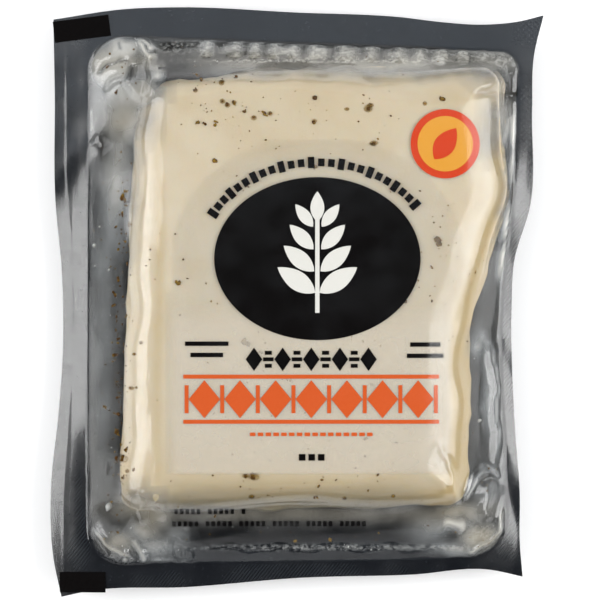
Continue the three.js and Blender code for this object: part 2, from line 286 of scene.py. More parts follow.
MILK_AND_HIGHLIGHT_STREAKS = (
    Streak(((-48.2, 46.0), (-48.0, 39.0)), 0.7, 0.8),
    Streak(((-37.5, 62.0), (-35.6, 58.7), (-34.4, 55.5), (-33.4, 51.8), (-32.8, 48.0)), 0.55, 1.35),
    Streak(((-37.3, 62.2), (-34.4, 59.9), (-32.7, 55.5), (-32.0, 50.4)), 0.5, 1.25),
    Streak(((-40.0, 52.0), (-39.0, 51.0), (-37.7, 49.3), (-35.7, 48.0), (-33.0, 47.8)), 0.6, 1.0),
    Streak((
        (51.2, 48.6), (51.2, 43.0), (51.0, 38.0), (51.2, 33.0), (51.0, 26.0), (49.6, 18.0), (47.4, 2.0),
    ), 1.3, 1.4),
    Streak(((50.4, 44.4), (48.6, 39.1), (46.9, 35.9)), 0.9, 0.8),
    Streak(((41.0, -6.0), (43.7, -9.4), (46.4, -12.5), (46.8, -17.4), (46.9, -39.0)), 0.6, 0.65),
    Streak(((40.8, -39.4), (39.9, -42.6), (39.2, -46.0)), 0.45, 0.9),
    Streak(((41.8, -40.4), (40.9, -43.0), (40.0, -46.2)), 0.4, 0.9),
    Streak(((41.0, -41.4), (42.4, -40.0), (44.5, -39.8), (47.8, -41.2)), 0.6, 0.6),
    Streak(RIGHT_CRESCENT, 0.5, 0.95),
    # Painted highlight: a bright window reflected at the bottom right, drawn as a drift of milk.
    Streak(((33.0, -51.2), (36.2, -51.8), (39.6, -52.5)), 1.5, 1.1),
    Streak((
        (-47.6, -52.0), (-46.9, -54.0), (-45.3, -56.1), (-43.2, -57.9), (-41.1, -59.2), (-37.7, -59.6),
    ), 0.45, 1.0),
    Streak(((-39.4, -55.2), (-36.9, -57.5), (-35.7, -61.6)), 0.7, 0.8),
    Streak(((-35.9, -51.5), (-39.4, -53.6)), 0.5, 0.6),
    Streak(((-39.9, -59.8), (-39.9, -61.8)), 0.8, 0.85),
    Streak(((-43.4, -59.4), (-43.0, -60.4)), 1.0, 0.5),
    Streak(((-33.6, -60.4), (-30.6, -60.7)), 0.5, 0.6),
    Streak(((-28.8, -60.2), (-26.0, -60.5)), 0.5, 0.6),
)
# Clear places between the drifts, where the dark film shows. They paint the shade of creases, hollows and
# the gap beside the cheese.
SHADE_CLEAR_SPOTS = (
    Spot((-28.6, 56.5), (4.9, 5.0), 0.9, 3),
    Spot((-46.0, 36.8), (2.6, 3.2), 0.85, 2),
    Spot((-37.3, 37.0), (0.8, 1.6), 0.70),
    Spot((49.5, 49.2), (2.8, 1.8), 0.65),
    Spot((41.3, -26.0), (1.0, 10.0), 0.60),
    Spot((36.6, -55.6), (2.4, 1.1), 0.45),
)
SHADE_CLEAR_STREAKS = (
    Streak(HOOD_HOLLOW, 0.45, 0.55),
    Streak(EAR_PIT, 0.8, 0.85),
    Streak(((-41.5, 61.0), (-41.6, 59.0)), 0.4, 0.5),
    Streak(((41.0, 48.6), (50.5, 48.4)), 0.5, 0.6),
)
# Places where the drifts are tinged by the cheese
WARM_SPOTS = (
    Spot((-40, 42), (6, 5), 0.8),
    Spot((-35, 48), (3, 4), 0.6),
    Spot((-37, -47), (6, 4), 0.9),
    Spot((35, -48.5), (7, 3), 0.9),
    Spot((-42, 32), (4, 8), 0.35),
    Spot((46, 46), (6, 6), 0.5),
    Spot((0, 56), (60, 3), 0.8),
    Spot((43, -55), (5, 3.5), 0.9),
    Spot((-42, -56), (4.5, 3), 0.7),
    Spot((-34, -50), (4, 5), 0.9),
    Spot((0, -49), (60, 3.2), 0.8),
)
FROTHY_SPOTS = (
    Spot((10, 56.2), (34, 0.5), 0.6),
    Spot((-28, 59.6), (7, 1.8), 0.3),
    Spot((45, 57), (6, 2.5), 0.25),
    Spot((-32, -57), (9, 3), 0.1),
    Spot((10, -57.4), (34, 0.7), 0.4),
    Spot((44, -54), (5, 3), 0.15),
)
# Margin patches pressed with slanting ribs, and those pressed with rows of dots
RIBBED_SPOTS = (
    Spot((-51.3, -47), (3, 17), 1.0),
    Spot((0, -65), (55, 5), 0.6),
    Spot((51, -2), (6, 28), 0.8),
    Spot((50, -58), (6, 8), 1.0),
    Spot((-50.5, 52), (2, 6), 0.5),
)
CROSSED_SPOTS = (
    Spot((55, 63), (5, 5), 1.0),
    Spot((54, 36), (4, 12), 1.0),
    Spot((-50.5, 60), (2.5, 3), 0.6),
)
# Yellower places of the cheese; those over its head and along its foot are partly painted shade
YELLOW_AND_SHADED_SPOTS = (
    Spot((-34.5, 42), (2.5, 7), 0.75),
    Spot((0, -46), (48, 7), 0.90),
    Spot((34, 47), (10, 4), 0.45),
    Spot((-26, 46), (6, 3), 0.35),
    Spot((0, 46), (42, 16), 0.32),
)
# Yellow groove: its line, half width and strength
YELLOW_LINE = ((-33.0, 45.0), (-32.0, 24.0), (-31.6, 2.0), (-32.4, -20.0), (-32.0, -44.0))
YELLOW_LINE_WIDTH = 1.5
YELLOW_LINE_AMOUNT = 0.55

# Large flecks of mint: place and length
NAMED_FLECKS = (
    (4.1, 47.2, 1.6), (-22.1, 51.5, 1.7), (-22.9, 52.4, 1.0), (-17.2, 46.3, 1.0), (-16.0, 45.4, 1.1),
    (-14.5, 46.1, 1.3), (-12.2, 44.0, 1.0), (-22.9, 41.4, 1.0), (-21.4, 41.2, 1.0), (-19.0, 41.2, 1.3),
    (-19.0, 32.4, 1.3), (-7.3, 43.3, 1.6), (-6.2, 43.5, 1.1), (11.5, 44.5, 0.9), (16.4, 44.6, 1.5),
    (17.8, 36.7, 1.6), (33.5, 46.8, 1.3), (32.5, 14.0, 1.9), (31.1, 8.0, 1.2), (25.0, 0.2, 1.3),
    (31.1, 0.2, 1.2), (-9.8, -40.4, 1.8), (5.1, -42.6, 1.0), (-10.5, -44.9, 1.1), (-12.0, -9.4, 1.9),
    (18.7, -39.8, 1.3), (15.9, -31.4, 1.3), (17.3, -19.0, 1.4), (-1.9, -18.3, 1.6), (28.8, -23.2, 1.2),
    (-40.0, 23.9, 2.0), (-39.2, 17.9, 1.5), (-39.8, 14.0, 1.2), (-39.3, 8.9, 1.5), (-42.4, 1.9, 1.3),
    (-42.0, -3.5, 1.3), (-41.4, -8.2, 1.2), (-38.4, -19.9, 1.3), (-44.7, -24.6, 1.2), (-40.2, -36.3, 1.9),
    (-40.1, -40.6, 1.1), (-39.3, -34.2, 1.3),
)
# Clusters of smaller flecks: middle, spread along X and Y, and count
Cluster = namedtuple("Cluster", "middle spread count")
FLECK_CLUSTERS = (
    Cluster((-21, 44), (6, 4), 26),
    Cluster((-20, 52), (7, 1.5), 12),
    Cluster((-5, 42), (8, 4), 16),
    Cluster((12, 44), (9, 4), 14),
    Cluster((32, 12), (3, 7), 22),
    Cluster((-12, -41), (7, 3), 16),
    Cluster((12, -41.5), (9, 3), 18),
    Cluster((-40.6, 10), (1.4, 18), 60),
    Cluster((-41.0, -25), (1.4, 16), 60),
    Cluster((-42, 46), (4, 6), 10),
    Cluster((44.5, -40.5), (1.6, 1.6), 12),
    Cluster((46.5, -56), (2.5, 1.5), 9),
    Cluster((5, -54), (22, 2), 14),
    Cluster((2, 2), (26, 34), 260),
    Cluster((-41.6, 4), (1.8, 20), 30),
    Cluster((-42.0, -28), (1.8, 14), 30),
)
# Lengths drawn for small flecks and crumbs: middle and spread of their logarithms, and the longest
Lengths = namedtuple("Lengths", "middle spread longest")
FLECK_LENGTHS = Lengths(-0.75, 0.45, 1.3)
CRUMB_LENGTHS = Lengths(-1.5, 0.4, 0.9)
# Shares of a fleck's length that its part measures along and across, the part's thickness, and its shift
FLECK_LONG = (0.6, 1.0)
FLECK_WIDE = (0.35, 0.8)
FLECK_THICK = (0.10, 0.16)
FLECK_SHIFT = 0.35
# Length from which a fleck may have several parts, and from which this share of the flecks stain the cheese
BROKEN_FLECK = 0.9
STAINING_FLECK = 0.7
STAINING_SHARE = 0.7
# Reach of a stain as a share of its fleck's length, its narrowness, and its depth in layers of print
STAIN_REACH = (0.5, 0.9)
STAIN_NARROW = (0.6, 1.0)
STAIN_DEPTH = 5.4
# Rim segments of a stain, and its strength half way between its middle and its rim
STAIN_SEGMENTS = 12
STAIN_HALF_WAY = 0.6
# Brine below the face of the film over the rim of the cheese, how much deeper it lies beside it, the most
# of the gap between the films that is above it, its thickness, and the milk and froth that count as none
BRINE_DEPTHS = (0.29, 0.25)
BRINE_DEEPEST = 0.6
BRINE_SKIN = 0.03
CLEAR_BRINE = 0.01
# Share of milk in the thin brine beside the cheese, and shares of milk and froth under the blisters
THIN_MILK = 0.11
BLISTER_MILK = 0.7
BLISTER_FROTH = 0.3
# How far inside the seal the brine, the flecks and the crumbs stay
BRINE_SHORE = 0.35
FLECK_SHORE = 1.5
CRUMB_SHORE = 1.0
# Small crumbs and bubbles: how many are drawn, over which stretch, their depth, narrowness and thickness
CRUMB_COUNT = 2600
CRUMBS_ACROSS = (-49, 51)
CRUMBS_ALONG = (-61, 61)
CRUMB_DEPTH = 0.42
CRUMB_NARROW = 0.8
CRUMB_THICK = 0.25
# Share of the crumbs that is kept everywhere, how many more in crumpled places, and their gap to the cheese
CRUMBS_KEPT = 0.08
CRUMPLED_CRUMBS = 0.5
CRUMB_GAP = 0.5
# Range of the sizes that the corners of a fleck or crumb are drawn from
LUMP_CORNERS = (0.7, 1.25)
# Larger curd crumbs and bubbles: place and length
NAMED_CRUMBS = (
    (-43.8, -47.7, 2.3), (-47.3, 13.3, 1.2), (-46.1, 17.6, 0.6), (-43.8, 7.5, 0.7), (42.5, -27.6, 1.1),
)

# Meshes of the sheets: cells along X and Y, and the share of them that crowds over each margin of the pack
Grid = namedtuple("Grid", "cells edge_share")
FRONT_GRID = Grid((196, 224), 0.31)
BACKING_GRID = Grid((150, 176), 0.36)
BRINE_GRID = Grid((150, 170), 0.40)
MARGIN_REACH = (0.2, 0.18)
# Distance beyond the cheese over which the film turns from tight to slack
SLACK_STARTS = (-9, -3)
# Box that the cheese is rounded from: half its width and length, and how its mesh crowds at the edges
BLOCK_HALF_SIZE = (44.0, 51.5)
BLOCK_CUTS = 71
BLOCK_CROWDING = ((0.3, 0.13), (0.3, 0.12))
# Top left corner of the cheese: how far it is pared and lowered, over stretches of X and Y
PARED = (3.0, 1.5)
PARED_ACROSS = (-26, -38)
LOWERED = 2.0
LOWERED_ACROSS = (-8, -28)
PARED_ALONG = (40, 54)

# Print on the front film, as places and sizes in millimetres
MEDALLION_MIDDLE = (4.7, 10.0)
MEDALLION_HALF_SIZE = (23.8, 18.8)
# Sprig in the oval: stem, pairs of leaves from the lowest up, and the leaf at its tip
SPRIG_STEM = (1.0, 22)
SPRIG_STEM_DROP = 1.5
SPRIG_PAIRS = 4
SPRIG_LOWEST = 8.5
SPRIG_PITCH = 5.4
SPRIG_LEAF = 10.5
SPRIG_LEAF_SHRINKS = 1.3
SPRIG_LEAF_NARROW = 0.42
SPRIG_LEAF_OUT = 0.46
SPRIG_LEAF_UP = 0.34
SPRIG_LEAN = 56
SPRIG_LEAN_DROPS = 6
SPRIG_TIP = (7, 3.2)
SPRIG_TIP_RISE = 12
# Bars in an arc over the oval, from one direction to another
ARC_BARS = 25
ARC_START = 152
ARC_END = 34
ARC_GAP = 3.4
ARC_BAR_WIDTH = 1.5
ARC_BAR_HEIGHTS = (2.6, 1.8, 1.8)
ROUND_MARK_MIDDLE = (34.2, 36.5)
ROUND_MARK_RADIUS = 8.0
ROUND_DISC_RADIUS = 6.4
ROUND_LEAF = (8.8, 4.8)
ROUND_LEAF_TURN = 55
VEIL_MIDDLE = (2.7, -1.5)
VEIL_SIZE = (74.0, 78.0)
VEIL_CELLS = (96, 104)
VEIL_OVAL = (32.0, 27.0)
VEIL_HALO = 0.3
VEIL_HALF_WIDTH = 32.5
VEIL_FOOT = -39.6
# Weakest veil that is printed, the one that brine keeps clear of, and the one that hides a stain
VEIL_LEAST = 0.004
VEIL_TRACE = 0.003
VEIL_FAINT = 0.02
BAND_MIDDLE = (3.3, -22.4)
BAND_SIZE = (57.5, 10.4)
BAND_REPEATS = 7
# Half size of a lozenge as shares of the band's pitch and height, and an upright's share of the height
BAND_LOZENGE = (0.44, 0.42)
BAND_UPRIGHT = 0.62
BAND_LINE = 0.9
BAND_OVERHANG = 1.5
# Chain of lozenges and stacked bars under the oval
CHAIN_MIDDLE = (3.3, -13.2)
CHAIN_PITCH = 3.3
CHAIN_LINKS = 9
CHAIN_LOZENGE = (1.9, 2.7)
CHAIN_BAR = (2.4, 0.9)
CHAIN_BAR_SHRINKS = 0.8
CHAIN_BAR_PITCH = 1.5
# Rules beside the chain: middle and width
RULES = (((-20.8, -9.6), 10.0), ((-20.8, -12.2), 7.5), ((29.6, -9.8), 7.0), ((29.6, -12.4), 8.5))
RULE_HEIGHT = 1.0
# Rows of like bars: middle of the first, pitch, count, size, mesh cells, and how many stand between gaps
Row = namedtuple("Row", "start pitch count size cells group", defaults=(0,))
DASHES = Row((-10.2, -30.5), 1.8, 16, (1.25, 0.8), (2, 1))
SQUARES = Row((1.2, -35.8), 2.2, 3, (1.5, 1.5), (6, 2))
CODE_ROWS = (
    Row((-28.0, -48.6), 1.3, 13, (0.8, 1.2), (2, 2), 5),
    Row((-28.6, -51.6), 1.3, 36, (0.8, 1.2), (2, 2), 5),
)
# Black marks on the margin: middle, size, turn in degrees and mesh cells. They lie above the film.
Mark = namedtuple("Mark", "middle size turn cells")
CORNER_MARKS = (
    Mark((-50.4, 64.0), (13.2, 5.0), 7, (30, 14)),
    Mark((-50.2, -65.6), (10.8, 4.8), 0, (26, 12)),
)
CORNER_MARK_DEPTH = -4

# Leaves: mesh cells, how blunt the ends are, width at the heel, and how much less it is at the tip
LEAF_CELLS = (12, 4)
LEAF_BLUNT = 0.8
LEAF_HEEL = 1.15
LEAF_NARROWS = 0.3

# Ribs and rows of dots that the welding jaws press: turn in degrees and pitch
RIB_TURN = 38
RIB_PITCH = 0.65
DOT_TURN = 42
DOT_PITCH = 0.95
# Period of a wave texture whose scale is 1, in metres
WAVE_PERIOD = math.pi / 10

# Softboxes: place and size in metres, the setting that holds the strength, and colour
Softbox = namedtuple("Softbox", "name place size setting colour", defaults=((1, 1, 1),))
SOFTBOXES = (
    Softbox("left_softbox", (-0.52, 0.06, 0.46), (0.55, 0.60), "left_light"),
    Softbox("right_softbox", (0.52, 0.0, 0.46), (0.50, 0.60), "right_light"),
    Softbox("head_panel", (0.0, 0.62, 0.45), (0.90, 0.50), "head_light"),
    Softbox("overhead_panel", (0.0, 0.48, 1.5), (1.20, 0.82), "overhead_light", (0.80, 0.89, 1.0)),
    Softbox("foot_panel", (0.0, -0.62, 0.45), (0.90, 0.50), "foot_light"),
)
FLOOR_HALF_SIZE = 1.5
SENSOR_WIDTH = 36.0
VIEW_MIDDLE = (0.70, 0.47)


def smooth_share(value, start, end):
    """Eased share of the way from a start to an end, which may also lie below it."""
    share = np.clip((value - start) / (end - start), 0, 1)
    return share * share * (3 - 2 * share)


def beyond_side(x, y, start, end):
    """Distance outside the line between two corners, negative inside."""
    along_x = end[0] - start[0]
    along_y = end[1] - start[1]
    return ((x - start[0]) * along_y - (y - start[1]) * along_x) / math.hypot(along_x, along_y)


def beyond_outline(x, y, corners, radius):
    """Distance outside a four-sided outline with rounded corners, negative inside."""
    bottom_right, top_right, top_left, bottom_left = corners
    right = beyond_side(x, y, bottom_right, top_right)
    top = beyond_side(x, y, top_right, top_left)
    left = beyond_side(x, y, top_left, bottom_left)
    bottom = beyond_side(x, y, bottom_left, bottom_right)
    across = np.maximum(left, right) + radius
    along = np.maximum(top, bottom) + radius
    corner = np.hypot(np.maximum(across, 0), np.maximum(along, 0))
    return corner + np.minimum(np.maximum(across, along), 0) - radius


def side_pull(x, y, bends):
    """How far the bends of the right side draw it in."""
    pull = sum(bend.depth * np.exp(-(((y - bend.middle) / bend.half_length) ** 2)) for bend in bends)
    return np.where(x > 0, pull, 0)


def slow_waves(x, y, waves):
    """Summed height of some waves at each place."""
    return sum(wave.height * np.sin(wave.across * x + wave.along * y + wave.phase) for wave in waves)


def beyond_block(x, y):
    """Distance outside the plan of the cheese, negative inside."""
    even = beyond_outline(x + side_pull(x, y, BLOCK_BENDS), y, BLOCK_CORNERS, BLOCK_CORNER_RADIUS)
    return even + slow_waves(x, y, BLOCK_EDGE_WAVES)


def beyond_pocket(x, y):
    """Distance outside the inner edge of the seal, negative inside. Its top right corner is tight."""
    radius = np.where((x > 0) & (y > 0), POCKET_TIGHT_RADIUS, POCKET_CORNER_RADIUS)
    return beyond_outline(x + side_pull(x, y, POCKET_BENDS), y, POCKET_CORNERS, radius)


def margin_level(x, y):
    """Level of the welded margin, which droops at the sides: its slope, added up from the pocket."""
    step = np.maximum(beyond_pocket(x, y), 0) / MARGIN_STEPS
    towards = np.degrees(np.arctan2(y, x))
    slant = MARGIN_SLANT * np.sign(x) * step
    level = np.full_like(x, SEAL_LEVEL)
    for number in range(MARGIN_STEPS):
        direction = (towards + slant * (number + 0.5) + 180) % 360 - 180
        level += step * np.tan(np.radians(np.interp(direction, *np.transpose(MARGIN_SLOPES))))
    return level


def rounding_width(x, rounding):
    """Width of a rounded edge of the cheese at each place."""
    return rounding.width + rounding.wider * smooth_share(x, *ROUNDING_WIDENS)


def share_to_seal(x, y, rounding):
    """Share of the way from the shoulder of the cheese to the seal."""
    shoulder = (1 - ROUNDING_KEPT) * rounding_width(x, rounding)
    from_shoulder = np.maximum(beyond_block(x, y) + shoulder, 1e-6)
    to_seal = np.maximum(-beyond_pocket(x, y), 0)
    return from_shoulder / (from_shoulder + to_seal)


def rounded_level(x, y, face, margin, rounding, hollow):
    """Level of a film that follows the rounded edge of the cheese and then sags to the margin."""
    across = np.clip(beyond_block(x, y) / rounding_width(x, rounding) + 1, 0, ROUNDING_KEPT)
    direction = np.sign(SEAL_LEVEL - face)
    over_block = face + direction * rounding.height * (1 - np.sqrt(1 - across * across))
    sag = (1 - share_to_seal(x, y, rounding)) ** hollow
    beside_block = margin + (over_block - margin) * sag
    return np.where(across < ROUNDING_KEPT, over_block, beside_block)


def front_hollow(x, y):
    """Hollow of the front film's sag at each place."""
    changes = (
        change.amount * (smooth_share(x, *change.across) * smooth_share(y, *change.along))
        for change in HOLLOW_CHANGES
    )
    return sum(changes, FRONT_HOLLOW)


def front_level(x, y):
    """Even level of the front film, without its folds."""
    return rounded_level(x, y, PACK_HEIGHT, margin_level(x, y), FRONT_ROUNDING, front_hollow(x, y))


def back_level(x, y):
    """Even level of the underside of the backing film."""
    return rounded_level(x, y, 0.0, margin_level(x, y) - SEAL_THICKNESS, BACK_ROUNDING, BACK_HOLLOW)


def along_line(x, y, line):
    """Distance from a line of straight stretches, and share of the way along it."""
    nearest = np.full_like(x, np.inf)
    place = np.zeros_like(x)
    passed = 0.0
    for start, end in zip(line, line[1:]):
        along = (end[0] - start[0], end[1] - start[1])
        length = math.hypot(*along)
        share = np.clip(((x - start[0]) * along[0] + (y - start[1]) * along[1]) / length ** 2, 0, 1)
        gap = np.hypot(x - start[0] - share * along[0], y - start[1] - share * along[1])
        place = np.where(gap < nearest, passed + share * length, place)
        nearest = np.minimum(nearest, gap)
        passed += length
    return nearest, place / passed


def tapered(share):
    """Strength of a fold or streak at a share of the way along it: it fades out at both ends."""
    return smooth_share(np.minimum(share, 1 - share), *TAPER)


def wandered(x, y):
    """Places shifted by slow waves, so that folds and drifts neither run straight nor bend evenly."""
    return x + slow_waves(x, y, WANDER_ACROSS), y + slow_waves(x, y, WANDER_ALONG)


def soft_noise(x, y, size, layer):
    """Smooth noise from -1 to 1 with swells of a given size, different on each layer."""
    depth = SOFT_LAYER_STEP * layer
    places = zip(x / size, y / size)
    return np.array([noise.noise(Vector((across, along, depth))) for across, along in places])


def uneven(x, y, reliefs):
    """Summed height of some uneven reliefs at each place."""
    return sum(relief.height * soft_noise(x, y, relief.size, relief.layer) for relief in reliefs)


def crumpled_noise(x, y, size, layer):
    """Noise from 0 to about 1 of shallow dishes that meet in sharp ridges."""
    depth = CRUMPLED_LAYER_STEP * layer
    places = zip(x / size, y / size)
    nearest = [noise.voronoi(Vector((across, along, depth)))[0][0] for across, along in places]
    return np.array(nearest) ** 2


def spotted(x, y, spots):
    """Smooth union of some soft patches at each place."""
    total = np.zeros_like(x)
    for spot in spots:
        across = (x - spot.middle[0]) / spot.reach[0]
        along = (y - spot.middle[1]) / spot.reach[1]
        fall = (across * across + along * along) ** spot.crisp
        total += (spot.amount * np.exp(-fall)) ** 4
    return total ** 0.25


def streaked(x, y, streaks):
    """Strongest of some soft lines at each place."""
    strongest = np.zeros_like(x)
    for streak in streaks:
        gap, share = along_line(x, y, streak.line)
        strength = streak.amount * tapered(share) * np.exp(-((gap / streak.width) ** 2))
        strongest = np.maximum(strongest, strength)
    return strongest


def blister_rise(x, y):
    """Rise of the blisters along the head of the pocket, from 0 to 1."""
    rise = np.zeros_like(x)
    for place, half_width in BLISTERS:
        across = (x - place) / half_width
        along = (y - BLISTER_LINE[0] - BLISTER_LINE[1] * place) / BLISTER_HALF_LENGTH
        rise = np.maximum(rise, np.maximum(1 - across * across - along * along, 0))
    return rise


def fold_rise(x, y, folds):
    """Summed rise of some folds."""
    rise = np.zeros_like(x)
    for fold in folds:
        gap, share = along_line(x, y, fold.line)
        rise += fold.height * tapered(share) * np.exp(-((gap / fold.width) ** FOLD_CREST))
    return rise


def film_folds(x, y):
    """Rise of the front film's folds, pleats and blisters above its even level."""
    return BLISTER_HEIGHT * blister_rise(x, y) + fold_rise(*wandered(x, y), FOLDS + PLEATS)


def margin_waves(x, y):
    """Slack waves of the welded margin, shared by both films."""
    return uneven(x, y, MARGIN_WAVES) * smooth_share(beyond_pocket(x, y), 0, 3)


def film_level(x, y):
    """Level of the front film with its folds, puckers and swells."""
    beside = smooth_share(beyond_block(x, y), -5, 1)
    inside = smooth_share(-beyond_pocket(x, y), 0, FOLD_FADE)
    slack = uneven(x, y * SLACK_STRETCH, FILM_SLACK)
    crumple = FILM_CRUMPLE.height * spotted(x, y, CRUMPLED_SPOTS)
    puckers = crumple * crumpled_noise(x, y, FILM_CRUMPLE.size, FILM_CRUMPLE.layer)
    swells = uneven(x, y, FILM_SWELLS)
    relief = (film_folds(x, y) + (slack + puckers) * beside) * inside + swells * (1 - beside)
    return front_level(x, y) + relief + fold_rise(x, y, SEAL_LINES) + margin_waves(x, y)


def backing_level(x, y):
    """Level of the inner face of the backing film."""
    beside = smooth_share(beyond_block(x, y), -4, 1)
    inside = smooth_share(-beyond_pocket(x, y), 0, FOLD_FADE)
    puckers = uneven(x, y, BACKING_PUCKERS)
    lift = BACKING_LIFT + SEAL_LIFT * smooth_share(beyond_pocket(x, y), -2, 0)
    return back_level(x, y) + lift + puckers * beside * inside + margin_waves(x, y)


def brine_level(x, y):
    """Level of the brine, which is close under the film over the rim of the cheese and deeper beside it."""
    depth = BRINE_DEPTHS[0] + BRINE_DEPTHS[1] * smooth_share(beyond_block(x, y), -1, 1)
    top = film_level(x, y)
    return top - np.minimum(depth, BRINE_DEEPEST * (top - backing_level(x, y)))


def veil_share(x, y):
    """Strength of the pale ink: a soft halo round the oval and a panel under it with a crisp foot."""
    rim = np.hypot((x - MEDALLION_MIDDLE[0]) / VEIL_OVAL[0], (y - MEDALLION_MIDDLE[1]) / VEIL_OVAL[1])
    halo = VEIL_HALO * (1 - smooth_share(rim, 0.82, 1.08))
    sides = 1 - smooth_share(np.abs(x - VEIL_MIDDLE[0]), VEIL_HALF_WIDTH - 3, VEIL_HALF_WIDTH + 1)
    panel = sides * (1 - smooth_share(y, -8, 4)) * smooth_share(y, VEIL_FOOT - 0.4, VEIL_FOOT + 0.4)
    return np.maximum(halo * smooth_share(y, -20, -10), panel)


def brine_drifts(x, y):
    """Shares of milk and of froth in the brine, which is clear under the print and the film's middle."""
    beside = beyond_block(x, y)
    shore = smooth_share(-beyond_pocket(x, y), 0.3, 0.8) * smooth_share(beside, -9, -6.5)
    shore = np.where(veil_share(x, y) < VEIL_TRACE, shore, 0)
    pillows = smooth_share(blister_rise(x, y), 0, 0.4)
    thin = THIN_MILK * smooth_share(beside, -0.6, 1.5) * (1 - smooth_share(y, -49, -53))
    bent = wandered(x, y)
    # Drifts of milk; one streak at the bottom right is a painted highlight.
    drifts = np.maximum(spotted(*bent, MILKY_SPOTS), streaked(*bent, MILK_AND_HIGHLIGHT_STREAKS))
    milk = np.maximum.reduce((thin, BLISTER_MILK * pillows, drifts))
    # Gaps in the milk paint the shade of creases and hollows, where the dark film shows.
    clear = np.maximum(spotted(*bent, SHADE_CLEAR_SPOTS), streaked(*bent, SHADE_CLEAR_STREAKS))
    froth = np.maximum(spotted(x, y, FROTHY_SPOTS), BLISTER_FROTH * pillows)
    return shore * milk * (1 - clear), shore * froth


def is_clear(x, y):
    """Places where the brine holds next to no milk or froth."""
    return sum(brine_drifts(x, y)) < CLEAR_BRINE


def yellow_and_painted_shade(x, y, z):
    """How yellow the cheese is: below its face, down its right side, in a groove and in patches. Below its
    face, down its right side and over its head and foot the darker yellow is partly painted shade.
    """
    below = smooth_share(z, 22.3, 19.5) * (0.15 + 0.85 * smooth_share(y, -30, -44))
    # Painted shade down the right side of the cheese, where less light falls.
    side = smooth_share(beyond_block(x, y), -5.8, -4.2) * smooth_share(x, 25, 33)
    side *= smooth_share(y, 50, 40)
    from_groove = along_line(x, y, YELLOW_LINE)[0] / YELLOW_LINE_WIDTH
    groove = YELLOW_LINE_AMOUNT * np.exp(-(from_groove ** 2))
    return np.maximum.reduce((below, side, groove, spotted(x, y, YELLOW_AND_SHADED_SPOTS)))


def painted_foot_shade(x, y):
    """Painted shade: how much the foot of the cheese is darkened, where little light reaches it."""
    middle = smooth_share(x, -34, -26) * (1 - smooth_share(x, 22, 36))
    return 0.9 * smooth_share(y, -39, -47.5) * middle


def block_plan(across, along):
    """Plan place of a share across and a share along the cheese, with its bends and its pared corner."""
    bottom_right, top_right, top_left, bottom_left = BLOCK_CORNERS
    left = bottom_left[0] + (top_left[0] - bottom_left[0]) * along
    right = bottom_right[0] + (top_right[0] - bottom_right[0]) * along
    bottom = bottom_left[1] + (bottom_right[1] - bottom_left[1]) * across
    top = top_left[1] + (top_right[1] - top_left[1]) * across
    x = left + (right - left) * across
    y = bottom + (top - bottom) * along
    x -= side_pull(x, y, BLOCK_BENDS) * smooth_share(across, 0.5, 1)
    pared = smooth_share(y, *PARED_ALONG) * smooth_share(x, *PARED_ACROSS)
    x += PARED[0] * pared
    y -= PARED[1] * pared
    y -= LOWERED * smooth_share(y, *PARED_ALONG) * smooth_share(x, *LOWERED_ACROSS)
    return x, y


def rounded_box(share, half, radii):
    """Places of a box with rounded corners and edges, and the direction outwards at each."""
    box = (2 * share - 1) * half
    core = np.clip(box, radii - half, half - radii)
    outward = (box - core) / radii
    outward /= np.linalg.norm(outward, axis=1)[:, None]
    return core + radii * outward, outward


def drawn_edge(start, end, drawn_in, share, inward):
    """Points along a cut edge, drawn in to its left where inward is 1 and to its right where it is -1."""
    knots = np.array(drawn_in, dtype=float)
    slopes = np.gradient(knots[:, 1], knots[:, 0])
    span = np.clip(np.searchsorted(knots[:, 0], share, side="right") - 1, 0, len(knots) - 2)
    width = knots[span + 1, 0] - knots[span, 0]
    part = (share - knots[span, 0]) / width
    ease = part * part * (3 - 2 * part)
    lead = part * (1 - part) ** 2
    tail = part * part * (part - 1)
    depth = knots[span, 1] + (knots[span + 1, 1] - knots[span, 1]) * ease
    depth += width * (slopes[span] * lead + slopes[span + 1] * tail)
    depth *= inward
    along = (end[0] - start[0], end[1] - start[1])
    length = math.hypot(*along)
    return (
        start[0] + along[0] * share - along[1] / length * depth,
        start[1] + along[1] * share + along[0] / length * depth,
    )


def pack_plan(across, along):
    """Plan place of a share across and a share along the pack, blended between its four cut edges."""
    bottom_right, top_right, top_left, bottom_left = PACK_CORNERS
    bottom = drawn_edge(bottom_left, bottom_right, BOTTOM_DRAWN_IN, across, 1)
    right = drawn_edge(bottom_right, top_right, RIGHT_DRAWN_IN, along, 1)
    top = drawn_edge(top_left, top_right, TOP_DRAWN_IN, across, -1)
    left = drawn_edge(bottom_left, top_left, LEFT_DRAWN_IN, along, -1)
    place = []
    for axis in (0, 1):
        low = bottom_left[axis] * (1 - across) + bottom_right[axis] * across
        high = top_left[axis] * (1 - across) + top_right[axis] * across
        between = bottom[axis] * (1 - along) + top[axis] * along
        between = between + left[axis] * (1 - across) + right[axis] * across
        place.append(between - low * (1 - along) - high * along)
    return place


def crowded(share, edge_share, edge_reach):
    """Even shares, crowded so that edge_share of them at each end cover edge_reach of the way."""
    return np.interp(share, (0, edge_share, 1 - edge_share, 1), (0, edge_reach, 1 - edge_reach, 1))


def mesh_places(mesh):
    """The mesh's vertices as an array in millimetres."""
    places = np.empty(len(mesh.vertices) * 3)
    mesh.vertices.foreach_get("co", places)
    return places.reshape(-1, 3) / MM


def plan_places(piece):
    """X and Y of a piece's vertices, in millimetres."""
    places = mesh_places(piece.data)
    return places[:, 0], places[:, 1]


def set_mesh_places(mesh, x, y, z):
    """Moves the mesh's vertices to places in millimetres."""
    mesh.vertices.foreach_set("co", (np.stack((x, y, z), axis=1) * MM).ravel())
    mesh.update()


